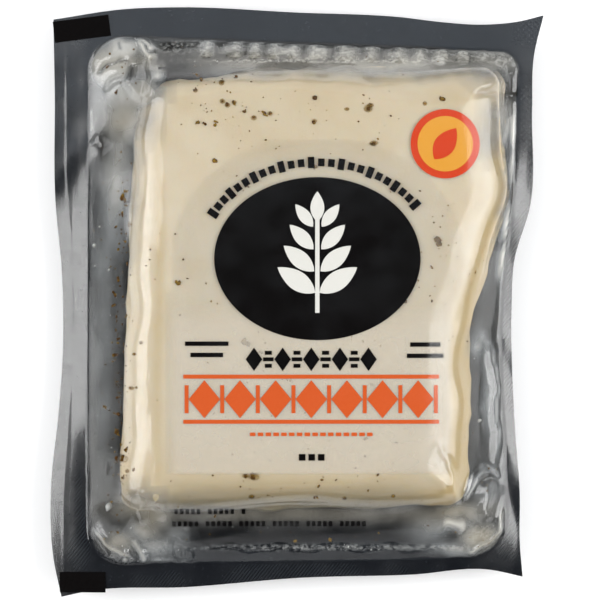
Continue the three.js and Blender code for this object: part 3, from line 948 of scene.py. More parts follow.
def keep_rims_crisp(bm):
    """Shades the free edges of a bmesh sharp and all others smooth."""
    for edge in bm.edges:
        edge.smooth = not edge.is_boundary


def new_piece(name, bm, material):
    """Makes a finished bmesh a smooth-shaded piece of the pack, with crisp free edges."""
    keep_rims_crisp(bm)
    mesh = bpy.data.meshes.new(name)
    bm.to_mesh(mesh)
    bm.free()
    for face in mesh.polygons:
        face.use_smooth = True
    piece = bpy.data.objects.new(name, mesh)
    bpy.context.scene.collection.objects.link(piece)
    mesh.materials.append(material)
    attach(piece, BODY)
    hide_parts(PACK_NODE)
    return piece


def add_attribute(piece, name, values):
    """Gives each vertex of a piece a number that its material can read."""
    attribute = piece.data.attributes.new(name, "FLOAT", "POINT")
    attribute.data.foreach_set("value", np.ascontiguousarray(values, dtype=np.float32))


def trim_faces(piece, spare):
    """Deletes the faces whose middles, in millimetres, a test calls spare."""
    bm = bmesh.new()
    bm.from_mesh(piece.data)
    middles = np.array([face.calc_center_median() for face in bm.faces]) / MM
    dropped = spare(middles[:, 0], middles[:, 1])
    doomed = [face for face, drop in zip(bm.faces[:], dropped) if drop]
    bmesh.ops.delete(bm, geom=doomed, context="FACES")
    keep_rims_crisp(bm)
    bm.to_mesh(piece.data)
    bm.free()


def thicken(piece, thickness):
    """Gives a sheet its thickness, inward from the face that is modelled."""
    wall = piece.modifiers.new("Wall", "SOLIDIFY")
    wall.thickness = thickness
    wall.offset = -1
    wall.use_rim = True


def draped_sheet(name, grid, level, material):
    """A grid that is fitted to the cut edges of the pack and raised to a level."""
    bm = bmesh.new()
    bmesh.ops.create_grid(bm, x_segments=grid.cells[0], y_segments=grid.cells[1], size=0.5)
    piece = new_piece(name, bm, material)
    flat = mesh_places(piece.data) * MM + 0.5
    shares = (crowded(flat[:, axis], grid.edge_share, MARGIN_REACH[axis]) for axis in (0, 1))
    x, y = pack_plan(*shares)
    set_mesh_places(piece.data, x, y, level(x, y))
    margin = smooth_share(beyond_pocket(x, y), 0, 0.6)
    add_attribute(piece, "slack", smooth_share(beyond_block(x, y), *SLACK_STARTS))
    add_attribute(piece, "ribbed", margin * spotted(x, y, RIBBED_SPOTS))
    add_attribute(piece, "crossed", margin * spotted(x, y, CROSSED_SPOTS))
    return piece


class Value:
    """One output of a finish's nodes. Arithmetic on it adds Math nodes."""

    def __init__(self, finish, socket):
        self.finish = finish
        self.socket = socket

    def math(self, operation, first, second):
        """Adds one Math node."""
        return self.finish.node("ShaderNodeMath", {"operation": operation}, {0: first, 1: second})

    def __add__(self, other):
        return self.math("ADD", self, other)

    def __radd__(self, other):
        return self.math("ADD", other, self)

    def __rsub__(self, other):
        return self.math("SUBTRACT", other, self)

    def __mul__(self, other):
        return self.math("MULTIPLY", self, other)

    def __rmul__(self, other):
        return self.math("MULTIPLY", other, self)

    def __pow__(self, other):
        return self.math("POWER", self, other)


class Finish:
    """A procedural material, built node by node."""

    def __init__(self, name):
        self.material = bpy.data.materials.new(name)
        self.material.use_nodes = True
        self.tree = self.material.node_tree
        self.tree.nodes.clear()
        self.place = self.node("ShaderNodeTexCoord", output="Object")

    def node(self, kind, settings=None, inputs=None, output=0):
        """Adds a node, sets it up, links or fills its sockets, and returns one output."""
        made = self.tree.nodes.new(kind)
        for name, setting in (settings or {}).items():
            setattr(made, name, setting)
        for name, value in (inputs or {}).items():
            if isinstance(value, Value):
                self.tree.links.new(value.socket, made.inputs[name])
            else:
                made.inputs[name].default_value = value
        return Value(self, made.outputs[output]) if made.outputs else None

    def noise(self, size_mm, detail=3.0, roughness=0.55, stretch=(1, 1, 1)):
        """Noise from 0 to 1 with grains of about a given size."""
        place = self.place
        if stretch != (1, 1, 1):
            place = self.node("ShaderNodeMapping", inputs={"Vector": place, "Scale": stretch})
        grain = {"Vector": place, "Scale": 1 / (size_mm * MM), "Detail": detail, "Roughness": roughness}
        return self.node("ShaderNodeTexNoise", inputs=grain)

    def band(self, value, low, high):
        """Share of the way from low to high, held between 0 and 1."""
        span = {"Value": value, "From Min": low, "From Max": high}
        return self.node("ShaderNodeMapRange", {"interpolation_type": "SMOOTHSTEP"}, span)

    def blend(self, share, first, second):
        """Mixes two colours by a share."""
        first = first if isinstance(first, Value) else (*first, 1)
        second = second if isinstance(second, Value) else (*second, 1)
        return self.node("ShaderNodeMix", {"data_type": "RGBA"}, {0: share, 6: first, 7: second}, 2)

    def attribute(self, name):
        """A number that the mesh carries at its vertices."""
        return self.node("ShaderNodeAttribute", {"attribute_name": name}, output="Fac")

    def bump(self, height, distance_mm, strength=1.0):
        """Normal of a relief whose full height is a given distance."""
        relief = {"Height": height, "Distance": distance_mm * MM, "Strength": strength}
        return self.node("ShaderNodeBump", inputs=relief)

    def done(self, shader):
        """Links the shader to the material's output."""
        self.node("ShaderNodeOutputMaterial", inputs={"Surface": shader})
        return self.material

    def principled(self, **inputs):
        """A Principled shader. The names of its sockets are given with low lines for spaces."""
        named = {name.replace("_", " "): value for name, value in inputs.items()}
        return self.node("ShaderNodeBsdfPrincipled", inputs=named)

    def solid(self, **inputs):
        """Ends the material with one Principled shader."""
        return self.done(self.principled(**inputs))

    def layer(self, share, shader, clear=(1, 1, 1, 1)):
        """Ends the material with a shader that hides a share of what lies under it."""
        bare = self.node("ShaderNodeBsdfTransparent", inputs={"Color": clear})
        return self.done(self.node("ShaderNodeMixShader", inputs={0: share, 1: bare, 2: shader}))

    def ribs(self, degrees, pitch_mm):
        """Fine slanting ribs pressed by the welding jaws."""
        turn = {"Vector": self.place, "Rotation": (0, 0, math.radians(degrees))}
        turned = self.node("ShaderNodeMapping", inputs=turn)
        scale = WAVE_PERIOD / (pitch_mm * MM)
        lines = {"Vector": turned, "Scale": scale, "Distortion": 0.6, "Detail": 1.0, "Detail Scale": 2.0}
        bands = {"wave_type": "BANDS", "bands_direction": "X"}
        return self.node("ShaderNodeTexWave", bands, lines, "Fac")

    def knurl(self):
        """Ribs and dots of the welding jaws, on the patches of the margin that they pressed."""
        patches = 0.35 + 0.65 * self.band(self.noise(16, detail=1.0), 0.40, 0.6)
        ribs = self.ribs(RIB_TURN, RIB_PITCH) * self.attribute("ribbed")
        rows = self.ribs(DOT_TURN, DOT_PITCH) * self.ribs(-DOT_TURN, DOT_PITCH)
        dots = rows * self.attribute("crossed")
        return (ribs + 1.5 * dots) * patches


def clear_film_finish():
    """Thin clear film: it lets light through and mirrors the lights at its own angle."""
    finish = Finish("clear_film")
    facing = finish.node("ShaderNodeLayerWeight", inputs={"Blend": 0.5}, output="Facing")
    gloss = 0.018 + 0.020 * finish.attribute("slack") * (1 - 0.4 * finish.knurl())
    mirrored = gloss + 0.85 * facing ** 5
    smear = finish.band(finish.noise(9, detail=2.0), 0.35, 0.75)
    polish = {"Color": (1, 1, 1, 1), "Roughness": 0.12 + 0.13 * smear}
    mirror = finish.node("ShaderNodeBsdfGlossy", inputs=polish)
    return finish.layer(mirrored, mirror, clear=(0.985, 0.985, 0.98, 1))


def backing_film_finish(colours):
    """Dark slate film, glossy, with knurled ribs on the margin, whose glint is painted as paler colour."""
    finish = Finish("backing_film")
    cloud = finish.band(finish.noise(14), 0.3, 0.75)
    speck = finish.band(finish.noise(0.9, detail=1.0), 0.62, 0.8)
    slate = finish.blend(cloud, colours.slate, colours.slate_light)
    specked = finish.blend(speck * 0.2, slate, colours.slate_fleck)
    knurl = finish.knurl()
    # Painted glint: the knurled ribs are lightened towards the rib colour.
    colour = finish.blend(0.8 * knurl, specked, colours.slate_rib_glint)
    relief = finish.noise(3.0, detail=2.0) * 0.15 + 0.2 * knurl
    gloss = 0.18 + 0.12 * finish.noise(6)
    return finish.solid(
        Base_Color=colour,
        Roughness=gloss,
        Specular_IOR_Level=0.65,
        Normal=finish.bump(relief, 0.08, 0.8),
    )


def cheese_finish(colours):
    """Moist ivory cheese, yellower along its edges and grooves, with painted shade on its sides, head and
    foot.
    """
    finish = Finish("halloumi")
    mottle = finish.band(finish.noise(11, detail=4.0), 0.35, 0.7)
    fibre = finish.noise(2.4, detail=5.0, stretch=(1, 0.35, 1))
    pale = finish.blend(mottle, colours.cheese_pale, colours.cheese)
    # Yellow along the edges and grooves, partly painted shade on the sides, head and foot.
    yellow = finish.attribute("yellow") * (0.7 + 0.5 * finish.noise(6, detail=3.0))
    yellowed_and_shaded = finish.blend(yellow, pale, colours.cheese_edge_and_shade)
    # Painted shade darkens the foot of the cheese.
    colour = finish.blend(finish.attribute("shade"), yellowed_and_shaded, colours.cheese_painted_shade)
    relief = fibre + finish.noise(0.8, detail=3.0) * 0.4
    return finish.solid(
        Base_Color=colour,
        Roughness=0.42 + 0.2 * fibre,
        Subsurface_Weight=0.55,
        Subsurface_Radius=(0.0045, 0.0030, 0.0016),
        Subsurface_Scale=1.0,
        Normal=finish.bump(relief, 0.18, 0.6),
    )


def mint_finish(colours):
    """Dried mint, from olive to dark brown from fleck to fleck."""
    finish = Finish("mint_flecks")
    kind = finish.band(finish.noise(1.1, detail=2.0), 0.45, 0.62)
    colour = finish.blend(kind, colours.mint_brown, colours.mint_olive)
    vein = finish.noise(0.25, detail=2.0)
    return finish.solid(
        Base_Color=colour,
        Roughness=0.5 + 0.3 * vein,
        Specular_IOR_Level=0.15,
        Normal=finish.bump(vein, 0.06),
    )


def stain_finish(colours):
    """Golden stain that spreads from a fleck into the cheese."""
    finish = Finish("mint_stain")
    share = finish.attribute("stain") ** 1.4 * (0.3 + 0.7 * finish.noise(0.8, detail=2.0))
    tint = finish.blend(finish.noise(2.0), colours.stain, colours.mint_olive)
    ink = finish.principled(Base_Color=tint, Roughness=0.5 + 0.2 * finish.noise(1.0))
    return finish.layer(share, ink)


def brine_finish(colours):
    """Cloudy brine: drifts of milk and froth in clear liquid."""
    finish = Finish("brine")
    cloud = finish.band(finish.noise(7, detail=3.0, stretch=(1, 0.5, 1)), 0.30, 0.70)
    bubbles = finish.band(finish.noise(1.0, detail=5.0, roughness=0.7), 0.45, 0.58)
    froth = finish.attribute("froth") * bubbles
    haze = finish.attribute("haze")
    milky = haze * (0.65 + 0.45 * cloud) + froth
    cool = finish.blend(finish.band(haze, 0.35, 0.95), colours.brine, colours.milk)
    warmed = finish.blend(finish.attribute("warm"), cool, colours.whey)
    tone = finish.blend(finish.band(haze, 0.95, 1.3), warmed, colours.curd)
    colour = finish.blend(froth, tone, colours.curd)
    return finish.layer(milky, finish.principled(Base_Color=colour, Roughness=0.3 + 0.2 * cloud))


def curd_finish(colours):
    """Soft white crumbs and bubbles."""
    finish = Finish("curd_crumbs")
    tone = finish.noise(0.7)
    return finish.solid(
        Base_Color=finish.blend(tone, colours.curd, colours.brine),
        Roughness=0.25 + 0.25 * tone,
        Subsurface_Weight=0.4,
        Subsurface_Radius=(0.001, 0.001, 0.001),
        Subsurface_Scale=1.0,
        Normal=finish.bump(tone, 0.05),
    )


def ink_finish(name, ink, worn):
    """Solid ink on the underside of the film, with a faint press mottle."""
    finish = Finish(name)
    mottle = finish.noise(0.6, detail=3.0)
    return finish.solid(
        Base_Color=finish.blend(mottle * 0.6, ink, worn),
        Roughness=0.55 + 0.2 * mottle,
        Specular_IOR_Level=0.02,
        Normal=finish.bump(mottle, 0.01),
    )


def thin_ink_finish(colours):
    """Thin pale ink that veils what lies under it."""
    finish = Finish("thin_pale_ink")
    mottle = finish.noise(5, detail=2.0)
    tint = finish.blend(mottle, colours.veil, colours.veil_deep)
    veil = finish.attribute("veil") * (0.24 + 0.10 * mottle)
    return finish.layer(veil, finish.principled(Base_Color=tint, Roughness=0.5 + 0.1 * mottle))


def floor_finish():
    """Plain pale floor."""
    finish = Finish("pale_floor")
    grain = finish.noise(30)
    return finish.solid(
        Base_Color=finish.blend(grain, (0.94, 0.94, 0.94), (0.96, 0.96, 0.96)),
        Roughness=0.8 + 0.1 * grain,
        Emission_Color=(1, 1, 1, 1),
        Emission_Strength=0.2,
    )


def plan_matrix(middle, size, turn=0.0):
    """Placement of a flat unit shape in the plan, from millimetres."""
    scale = Matrix.Diagonal((size[0] * MM, size[1] * MM, 1, 1))
    place = Matrix.Translation((middle[0] * MM, middle[1] * MM, 0))
    return place @ Matrix.Rotation(turn, 4, "Z") @ scale


def add_disc(bm, middle, radii, rings, segments=64):
    """Adds a flat disc or ellipse with rings of faces, so that it can follow the film."""
    made = bmesh.ops.create_circle(
        bm, cap_ends=True, cap_tris=True, segments=segments, radius=1.0, matrix=plan_matrix(middle, radii),
    )
    hub = max(made["verts"], key=lambda vertex: len(vertex.link_edges))
    bmesh.ops.subdivide_edges(bm, edges=hub.link_edges[:], cuts=rings, use_grid_fill=True)


def add_bar(bm, middle, size, turn=0.0, cells=(6, 2)):
    """Adds a flat bar."""
    bmesh.ops.create_grid(
        bm, x_segments=cells[0], y_segments=cells[1], size=0.5, matrix=plan_matrix(middle, size, turn),
    )


def add_row(bm, row):
    """Adds a row of like bars. Where they stand in groups, the place after each group stays empty."""
    for number in range(row.count):
        if not row.group or number % (row.group + 1) != row.group:
            add_bar(bm, (row.start[0] + row.pitch * number, row.start[1]), row.size, cells=row.cells)


def add_leaf(bm, middle, size, turn):
    """Adds a flat pointed leaf."""
    made = bmesh.ops.create_grid(bm, x_segments=LEAF_CELLS[0], y_segments=LEAF_CELLS[1], size=0.5)["verts"]
    for vertex in made:
        share = vertex.co.x + 0.5
        vertex.co.y *= math.sin(math.pi * share) ** LEAF_BLUNT * (LEAF_HEEL - LEAF_NARROWS * share)
    bmesh.ops.transform(bm, matrix=plan_matrix(middle, size, turn), verts=made)
    bmesh.ops.remove_doubles(bm, verts=made, dist=0.01 * MM)


def add_arc(bm):
    """Adds the bars that stand round the head of the oval."""
    across, along = MEDALLION_MIDDLE
    half_width, half_height = MEDALLION_HALF_SIZE
    for number in range(ARC_BARS):
        angle = math.radians(ARC_START - number * (ARC_START - ARC_END) / (ARC_BARS - 1))
        middle = (
            across + (half_width + ARC_GAP) * math.cos(angle),
            along + (half_height + ARC_GAP) * math.sin(angle),
        )
        turn = math.atan2(half_height * math.cos(angle), -half_width * math.sin(angle))
        height = ARC_BAR_HEIGHTS[number % len(ARC_BAR_HEIGHTS)]
        add_bar(bm, middle, (ARC_BAR_WIDTH, height), turn, cells=(2, 2))


def sprig_shapes():
    """Stem, paired leaves and tip of the sprig in the oval."""
    bm = bmesh.new()
    across, along = MEDALLION_MIDDLE
    add_bar(bm, (across, along - SPRIG_STEM_DROP), SPRIG_STEM, cells=(2, 16))
    for pair in range(SPRIG_PAIRS):
        foot = along - SPRIG_LOWEST + SPRIG_PITCH * pair
        reach = SPRIG_LEAF - SPRIG_LEAF_SHRINKS * pair
        for side in (-1, 1):
            turn = math.pi / 2 - side * math.radians(SPRIG_LEAN - SPRIG_LEAN_DROPS * pair)
            middle = (across + side * reach * SPRIG_LEAF_OUT, foot + reach * SPRIG_LEAF_UP)
            add_leaf(bm, middle, (reach, reach * SPRIG_LEAF_NARROW), turn)
    add_leaf(bm, (across, along + SPRIG_TIP_RISE), SPRIG_TIP, math.pi / 2)
    return bm


def band_shapes():
    """Lozenges between uprights and two lines, with a row of dashes under them."""
    bm = bmesh.new()
    across, along = BAND_MIDDLE
    width, height = BAND_SIZE
    pitch = width / BAND_REPEATS
    for number in range(BAND_REPEATS):
        middle = (across + (number - (BAND_REPEATS - 1) / 2) * pitch, along)
        add_disc(bm, middle, (pitch * BAND_LOZENGE[0], height * BAND_LOZENGE[1]), segments=4, rings=3)
    for number in range(BAND_REPEATS + 1):
        middle = (across + (number - BAND_REPEATS / 2) * pitch, along)
        add_bar(bm, middle, (BAND_LINE, height * BAND_UPRIGHT), cells=(1, 6))
    for side in (-1, 1):
        edge = along + side * height / 2
        add_bar(bm, (across, edge), (width + BAND_OVERHANG, BAND_LINE), cells=(40, 1))
    add_row(bm, DASHES)
    return bm


def rule_shapes():
    """Chain of lozenges and stacked bars, rules beside it, squares, and the arc over the oval."""
    bm = bmesh.new()
    for number in range(CHAIN_LINKS):
        across = CHAIN_MIDDLE[0] + (number - (CHAIN_LINKS - 1) / 2) * CHAIN_PITCH
        if number % 2:
            for step in (-1, 0, 1):
                size = (CHAIN_BAR[0] - CHAIN_BAR_SHRINKS * abs(step), CHAIN_BAR[1])
                add_bar(bm, (across, CHAIN_MIDDLE[1] + CHAIN_BAR_PITCH * step), size)
        else:
            add_disc(bm, (across, CHAIN_MIDDLE[1]), CHAIN_LOZENGE, segments=4, rings=2)
    for middle, width in RULES:
        add_bar(bm, middle, (width, RULE_HEIGHT))
    add_row(bm, SQUARES)
    add_arc(bm)
    return bm


def disc_shape(middle, radii, rings, segments=64):
    """One flat disc."""
    bm = bmesh.new()
    add_disc(bm, middle, radii, rings, segments)
    return bm


def lay_print(name, bm, material, depth=0):
    """Makes flat shapes a layer of ink that follows the underside of the front film, some layers down."""
    sizes = bpy.context.scene.pack_sizes
    piece = new_piece(name, bm, material)
    x, y = plan_places(piece)
    layer = sizes.ink_gap + sizes.ink_thickness
    under = (sizes.film_thickness + sizes.ink_gap + depth * layer) / MM
    set_mesh_places(piece.data, x, y, film_level(x, y) - under)
    thicken(piece, sizes.ink_thickness)
    return piece


def drawn_length(draw, lengths):
    """Draws the length of a small fleck or crumb."""
    return min(draw.lognormvariate(lengths.middle, lengths.spread), lengths.longest)


def add_lump(bm, place, size, turn, draw):
    """Adds a small uneven lump, size in millimetres along its own axes."""
    scale = Matrix.Diagonal((*(MM * side for side in size), 1))
    spot = Matrix.Translation(Vector(place) * MM) @ Matrix.Rotation(turn, 4, "Z") @ scale
    made = bmesh.ops.create_icosphere(bm, subdivisions=1, radius=0.5)["verts"]
    for vertex in made:
        vertex.co *= draw.uniform(*LUMP_CORNERS)
    bmesh.ops.transform(bm, matrix=spot, verts=made)


def length_property(name, description, millimetres):
    """A length that a user can change."""
    return bpy.props.FloatProperty(
        name=name, description=description, default=millimetres * MM, unit="LENGTH", precision=5)


def light_property(name, description, default):
    """The strength of a light, which a user can change."""
    return bpy.props.FloatProperty(name=name, description=description, default=default, min=0)


def colour_property(name, description, default):
    """A colour that a user can change."""
    return bpy.props.FloatVectorProperty(
        name=name, description=description, subtype="COLOR", size=3, min=0, max=1, default=default)


class PackSizes(bpy.types.PropertyGroup):
    """Sizes of the films, ink and cheese."""

    film_thickness: length_property("Front film", "Thickness of the clear film", 0.12)
    backing_thickness: length_property("Backing film", "Thickness of the dark film", 0.25)
    ink_gap: length_property("Ink gap", "Gap between layers of print", 0.03)
    ink_thickness: length_property("Ink", "Thickness of a layer of print", 0.02)
    cheese_gap: length_property("Cheese gap", "Brine between film and cheese", 0.45)
    fleck_depth: length_property("Fleck depth", "Flecks below the film's face", 0.36)
    cheese_corner: length_property("Cheese corner", "Radius of the cheese's corners in plan", 5.5)
    cheese_rounding: length_property("Cheese rounding", "Radius of the cheese's edges", 8.5)


class PackColours(bpy.types.PropertyGroup):
    """Colours of the pack, as linear light."""

    cheese: colour_property("Cheese", "Main colour of the cheese", (0.625, 0.535, 0.395))
    cheese_pale: colour_property("Pale cheese", "Paler patches of the cheese", (0.655, 0.58, 0.45))
    # Yellower edges and grooves, partly painted shade on the sides, head and foot of the cheese.
    cheese_edge_and_shade: colour_property("Cheese edge", "Yellower edges and grooves", (0.50, 0.385, 0.20))
    # Painted shade: the colour that the foot of the cheese is darkened towards.
    cheese_painted_shade: colour_property("Cheese foot", "Foot that is dim under the brine", (0.24, 0.205, 0.13))
    slate: colour_property("Slate", "Backing film", (0.0053, 0.0066, 0.0098))
    slate_light: colour_property("Pale slate", "Paler clouds of the backing film", (0.0094, 0.0115, 0.0157))
    slate_fleck: colour_property("Slate fleck", "Fine specks of the backing film", (0.06, 0.065, 0.075))
    # Painted glint of the ribs of the welded margin.
    slate_rib_glint: colour_property("Slate rib", "Ribs of the welded margin", (0.045, 0.049, 0.058))
    mint_brown: colour_property("Brown mint", "Darker flecks", (0.088, 0.038, 0.005))
    mint_olive: colour_property("Olive mint", "Paler flecks", (0.23, 0.135, 0.012))
    stain: colour_property("Mint stain", "Golden halo round a fleck", (0.42, 0.25, 0.03))
    brine: colour_property("Brine", "Cloudy brine", (0.35, 0.37, 0.385))
    milk: colour_property("Milk", "Dense drifts in the brine", (0.56, 0.56, 0.545))
    whey: colour_property("Whey", "Drifts that the cheese tinges", (0.44, 0.40, 0.32))
    curd: colour_property("Curd", "White crumbs and bubbles", (0.80, 0.79, 0.74))
    ink_black: colour_property("Black ink", "Dark print", (0.0022, 0.0018, 0.0018))
    ink_grey: colour_property("Worn black ink", "Mottle of the dark print", (0.008, 0.007, 0.007))
    ink_orange: colour_property("Orange ink", "Orange print", (0.63, 0.094, 0.020))
    ink_amber: colour_property("Worn orange ink", "Mottle of the orange print", (0.67, 0.14, 0.040))
    ink_red: colour_property("Red ink", "Rim and leaf of the round mark", (0.62, 0.042, 0.015))
    ink_yellow: colour_property("Yellow ink", "Disc of the round mark", (0.72, 0.32, 0.03))
    ink_straw: colour_property("Worn yellow ink", "Mottle of the yellow print", (0.74, 0.39, 0.085))
    ink_pale: colour_property("Pale ink", "Pale print", (0.72, 0.71, 0.68))
    veil: colour_property("Veil", "Thin pale ink under the print", (0.90, 0.83, 0.71))
    veil_deep: colour_property("Deep veil", "Mottle of the thin pale ink", (0.84, 0.78, 0.68))


class StageSettings(bpy.types.PropertyGroup):
    """Camera height and the strength of the lights."""

    camera_height: length_property("Camera height", "Camera above the margin of the pack", 900)
    view_width: length_property("View width", "Width that the camera sees at the margin", 140.4)
    left_light: light_property("Left light", "Radiance of the left softbox", 3.6)
    right_light: light_property("Right light", "Radiance of the right softbox", 4.2)
    head_light: light_property("Head light", "Radiance of the head panel", 0.7)
    overhead_light: light_property("Overhead light", "Radiance of the panel above the pack's head", 0.55)
    foot_light: light_property("Foot light", "Radiance of the foot panel", 0.5)
    fill_light: light_property("Fill light", "Strength of the even light", 0.22)


class HALLOUMI_OT_backing_film(bpy.types.Operator):
    """Make the dark film that the cheese lies in"""

    bl_idname = "halloumi.backing_film"
    bl_label = "Backing film"

    def execute(self, context):
        material = backing_film_finish(context.scene.pack_colours)
        piece = draped_sheet("backing_film", BACKING_GRID, backing_level, material)
        thicken(piece, context.scene.pack_sizes.backing_thickness)
        return {"FINISHED"}


class HALLOUMI_OT_block(bpy.types.Operator):
    """Make the block of cheese"""

    bl_idname = "halloumi.block"
    bl_label = "Cheese block"

    def execute(self, context):
        sizes = context.scene.pack_sizes
        gap = sizes.cheese_gap / MM
        bm = bmesh.new()
        bmesh.ops.create_cube(bm, size=1.0)
        bmesh.ops.subdivide_edges(bm, edges=bm.edges[:], cuts=BLOCK_CUTS, use_grid_fill=True)
        piece = new_piece("halloumi_block", bm, cheese_finish(context.scene.pack_colours))
        share = mesh_places(piece.data) * MM + 0.5
        for axis, crowding in enumerate(BLOCK_CROWDING):
            share[:, axis] = crowded(share[:, axis], *crowding)
        half = np.array((*BLOCK_HALF_SIZE, (PACK_HEIGHT - 2 * gap) / 2))
        radii = np.array((sizes.cheese_corner, sizes.cheese_corner, sizes.cheese_rounding)) / MM
        box, outward = rounded_box(share, half, radii)
        share = (box / half + 1) / 2
        x, y = block_plan(share[:, 0], share[:, 1])
        z = box[:, 2] + half[2] + gap
        dents = uneven(x + z, y - z, BLOCK_DENTS) + uneven(x - z, y + z, BLOCK_PITS) - BLOCK_DENT_DEPTH
        dents += (1 - np.abs(outward[:, 2])) * uneven(x, y, BLOCK_SIDE_DENTS)
        x, y, z = (place + dents * away for place, away in zip((x, y, z), outward.T))
        z = np.minimum(z, film_level(x, y) - gap)
        set_mesh_places(piece.data, x, y, z)
        # Yellowness, partly painted shade on the sides, head and foot.
        add_attribute(piece, "yellow", yellow_and_painted_shade(x, y, z))
        # Painted shade on the foot of the cheese.
        add_attribute(piece, "shade", painted_foot_shade(x, y))
        return {"FINISHED"}


class HALLOUMI_OT_brine(bpy.types.Operator):
    """Make the cloudy brine round the cheese"""

    bl_idname = "halloumi.brine"
    bl_label = "Brine"

    @staticmethod
    def is_dry(x, y):
        """Places under the seal, and those where the brine is clear."""
        return (beyond_pocket(x, y) > -BRINE_SHORE) | is_clear(x, y)

    def execute(self, context):
        material = brine_finish(context.scene.pack_colours)
        piece = draped_sheet("brine", BRINE_GRID, brine_level, material)
        trim_faces(piece, self.is_dry)
        x, y = plan_places(piece)
        haze, froth = brine_drifts(x, y)
        add_attribute(piece, "haze", haze)
        add_attribute(piece, "froth", froth)
        add_attribute(piece, "warm", spotted(x, y, WARM_SPOTS))
        thicken(piece, BRINE_SKIN * MM)
        return {"FINISHED"}


class HALLOUMI_OT_flecks(bpy.types.Operator):
    """Scatter the mint flecks over the cheese and through the brine"""

    bl_idname = "halloumi.flecks"
    bl_label = "Mint flecks"

    def execute(self, context):
        draw = random.Random(SEED)
        spots = list(NAMED_FLECKS)
        for cluster in FLECK_CLUSTERS:
            for _ in range(cluster.count):
                across, along = (draw.gauss(*pair) for pair in zip(cluster.middle, cluster.spread))
                spots.append((across, along, drawn_length(draw, FLECK_LENGTHS)))
        x, y, lengths = np.transpose(spots)
        level = film_level(x, y) - context.scene.pack_sizes.fleck_depth / MM
        kept = beyond_pocket(x, y) < -FLECK_SHORE
        bare = (veil_share(x, y) < VEIL_FAINT) & is_clear(x, y)
        flecks = bmesh.new()
        stains = bmesh.new()
        for across, along, top, long, keep, open_film in zip(x, y, level, lengths, kept, bare):
            parts = draw.randint(1, 3) if long > BROKEN_FLECK else 1
            stained = long > STAINING_FLECK and draw.random() < STAINING_SHARE
            shift = 0.0 if parts == 1 else FLECK_SHIFT * long
            for _ in range(parts):
                size = [long * draw.uniform(*shares) for shares in (FLECK_LONG, FLECK_WIDE)]
                size.append(draw.uniform(*FLECK_THICK))
                place = (across + draw.uniform(-shift, shift), along + draw.uniform(-shift, shift), top)
                turn = draw.uniform(0, math.tau)
                if keep:
                    add_lump(flecks, place, size, turn, draw)
            if keep and open_film and stained:
                reach = long * draw.uniform(*STAIN_REACH)
                radii = (reach, reach * draw.uniform(*STAIN_NARROW))
                add_disc(stains, (across, along), radii, rings=2, segments=STAIN_SEGMENTS)
        colours = context.scene.pack_colours
        new_piece("mint_flecks", flecks, mint_finish(colours))
        hubs = [len(vertex.link_edges) == STAIN_SEGMENTS for vertex in stains.verts]
        rims = [vertex.is_boundary for vertex in stains.verts]
        piece = lay_print("mint_stains", stains, stain_finish(colours), STAIN_DEPTH)
        add_attribute(piece, "stain", np.where(hubs, 1.0, np.where(rims, 0.0, STAIN_HALF_WAY)))
        return {"FINISHED"}


class HALLOUMI_OT_curd(bpy.types.Operator):
    """Scatter curd crumbs and bubbles in the brine"""

    bl_idname = "halloumi.curd"
    bl_label = "Curd crumbs"

    def execute(self, context):
        draw = random.Random(SEED + 1)
        spots = list(NAMED_CRUMBS)
        for _ in range(CRUMB_COUNT):
            across, along = (draw.uniform(*stretch) for stretch in (CRUMBS_ACROSS, CRUMBS_ALONG))
            spots.append((across, along, drawn_length(draw, CRUMB_LENGTHS)))
        x, y, lengths = np.transpose(spots)
        level = film_level(x, y) - CRUMB_DEPTH
        crumpled = CRUMPLED_CRUMBS * spotted(x, y, CRUMPLED_SPOTS)
        crowding = CRUMBS_KEPT + np.maximum(spotted(x, y, FROTHY_SPOTS), crumpled)
        crowding[:len(NAMED_CRUMBS)] = 1
        kept = (beyond_pocket(x, y) < -CRUMB_SHORE) & (beyond_block(x, y) > CRUMB_GAP)
        bm = bmesh.new()
        for across, along, top, long, keep, crowd in zip(x, y, level, lengths, kept, crowding):
            chance = draw.random()
            turn = draw.uniform(0, math.tau)
            if keep and chance < crowd:
                add_lump(bm, (across, along, top), (long, long * CRUMB_NARROW, CRUMB_THICK), turn, draw)
        new_piece("curd_crumbs", bm, curd_finish(context.scene.pack_colours))
        return {"FINISHED"}


class HALLOUMI_OT_medallion(bpy.types.Operator):
    """Print the dark oval with its pale sprig"""

    bl_idname = "halloumi.medallion"
    bl_label = "Oval with sprig"

    def execute(self, context):
        colours = context.scene.pack_colours
        oval = disc_shape(MEDALLION_MIDDLE, MEDALLION_HALF_SIZE, rings=12, segments=96)
        black = ink_finish("black_ink", colours.ink_black, colours.ink_grey)
        lay_print("print_oval", oval, black, depth=1)
        pale = ink_finish("pale_ink", colours.ink_pale, colours.curd)
        lay_print("print_sprig", sprig_shapes(), pale)
        return {"FINISHED"}


class HALLOUMI_OT_bands(bpy.types.Operator):
    """Print the orange band of lozenges, the pale panel and the dark rules"""

    bl_idname = "halloumi.bands"
    bl_label = "Bands and rules"

    def execute(self, context):
        colours = context.scene.pack_colours
        bm = bmesh.new()
        add_bar(bm, VEIL_MIDDLE, VEIL_SIZE, cells=VEIL_CELLS)
        panel = lay_print("print_panel", bm, thin_ink_finish(colours), depth=2)
        trim_faces(panel, lambda x, y: veil_share(x, y) < VEIL_LEAST)
        add_attribute(panel, "veil", veil_share(*plan_places(panel)))
        orange = ink_finish("orange_ink", colours.ink_orange, colours.ink_amber)
        lay_print("print_band", band_shapes(), orange)
        dark = ink_finish("dark_ink", colours.ink_black, colours.ink_grey)
        lay_print("print_rules", rule_shapes(), dark)
        return {"FINISHED"}


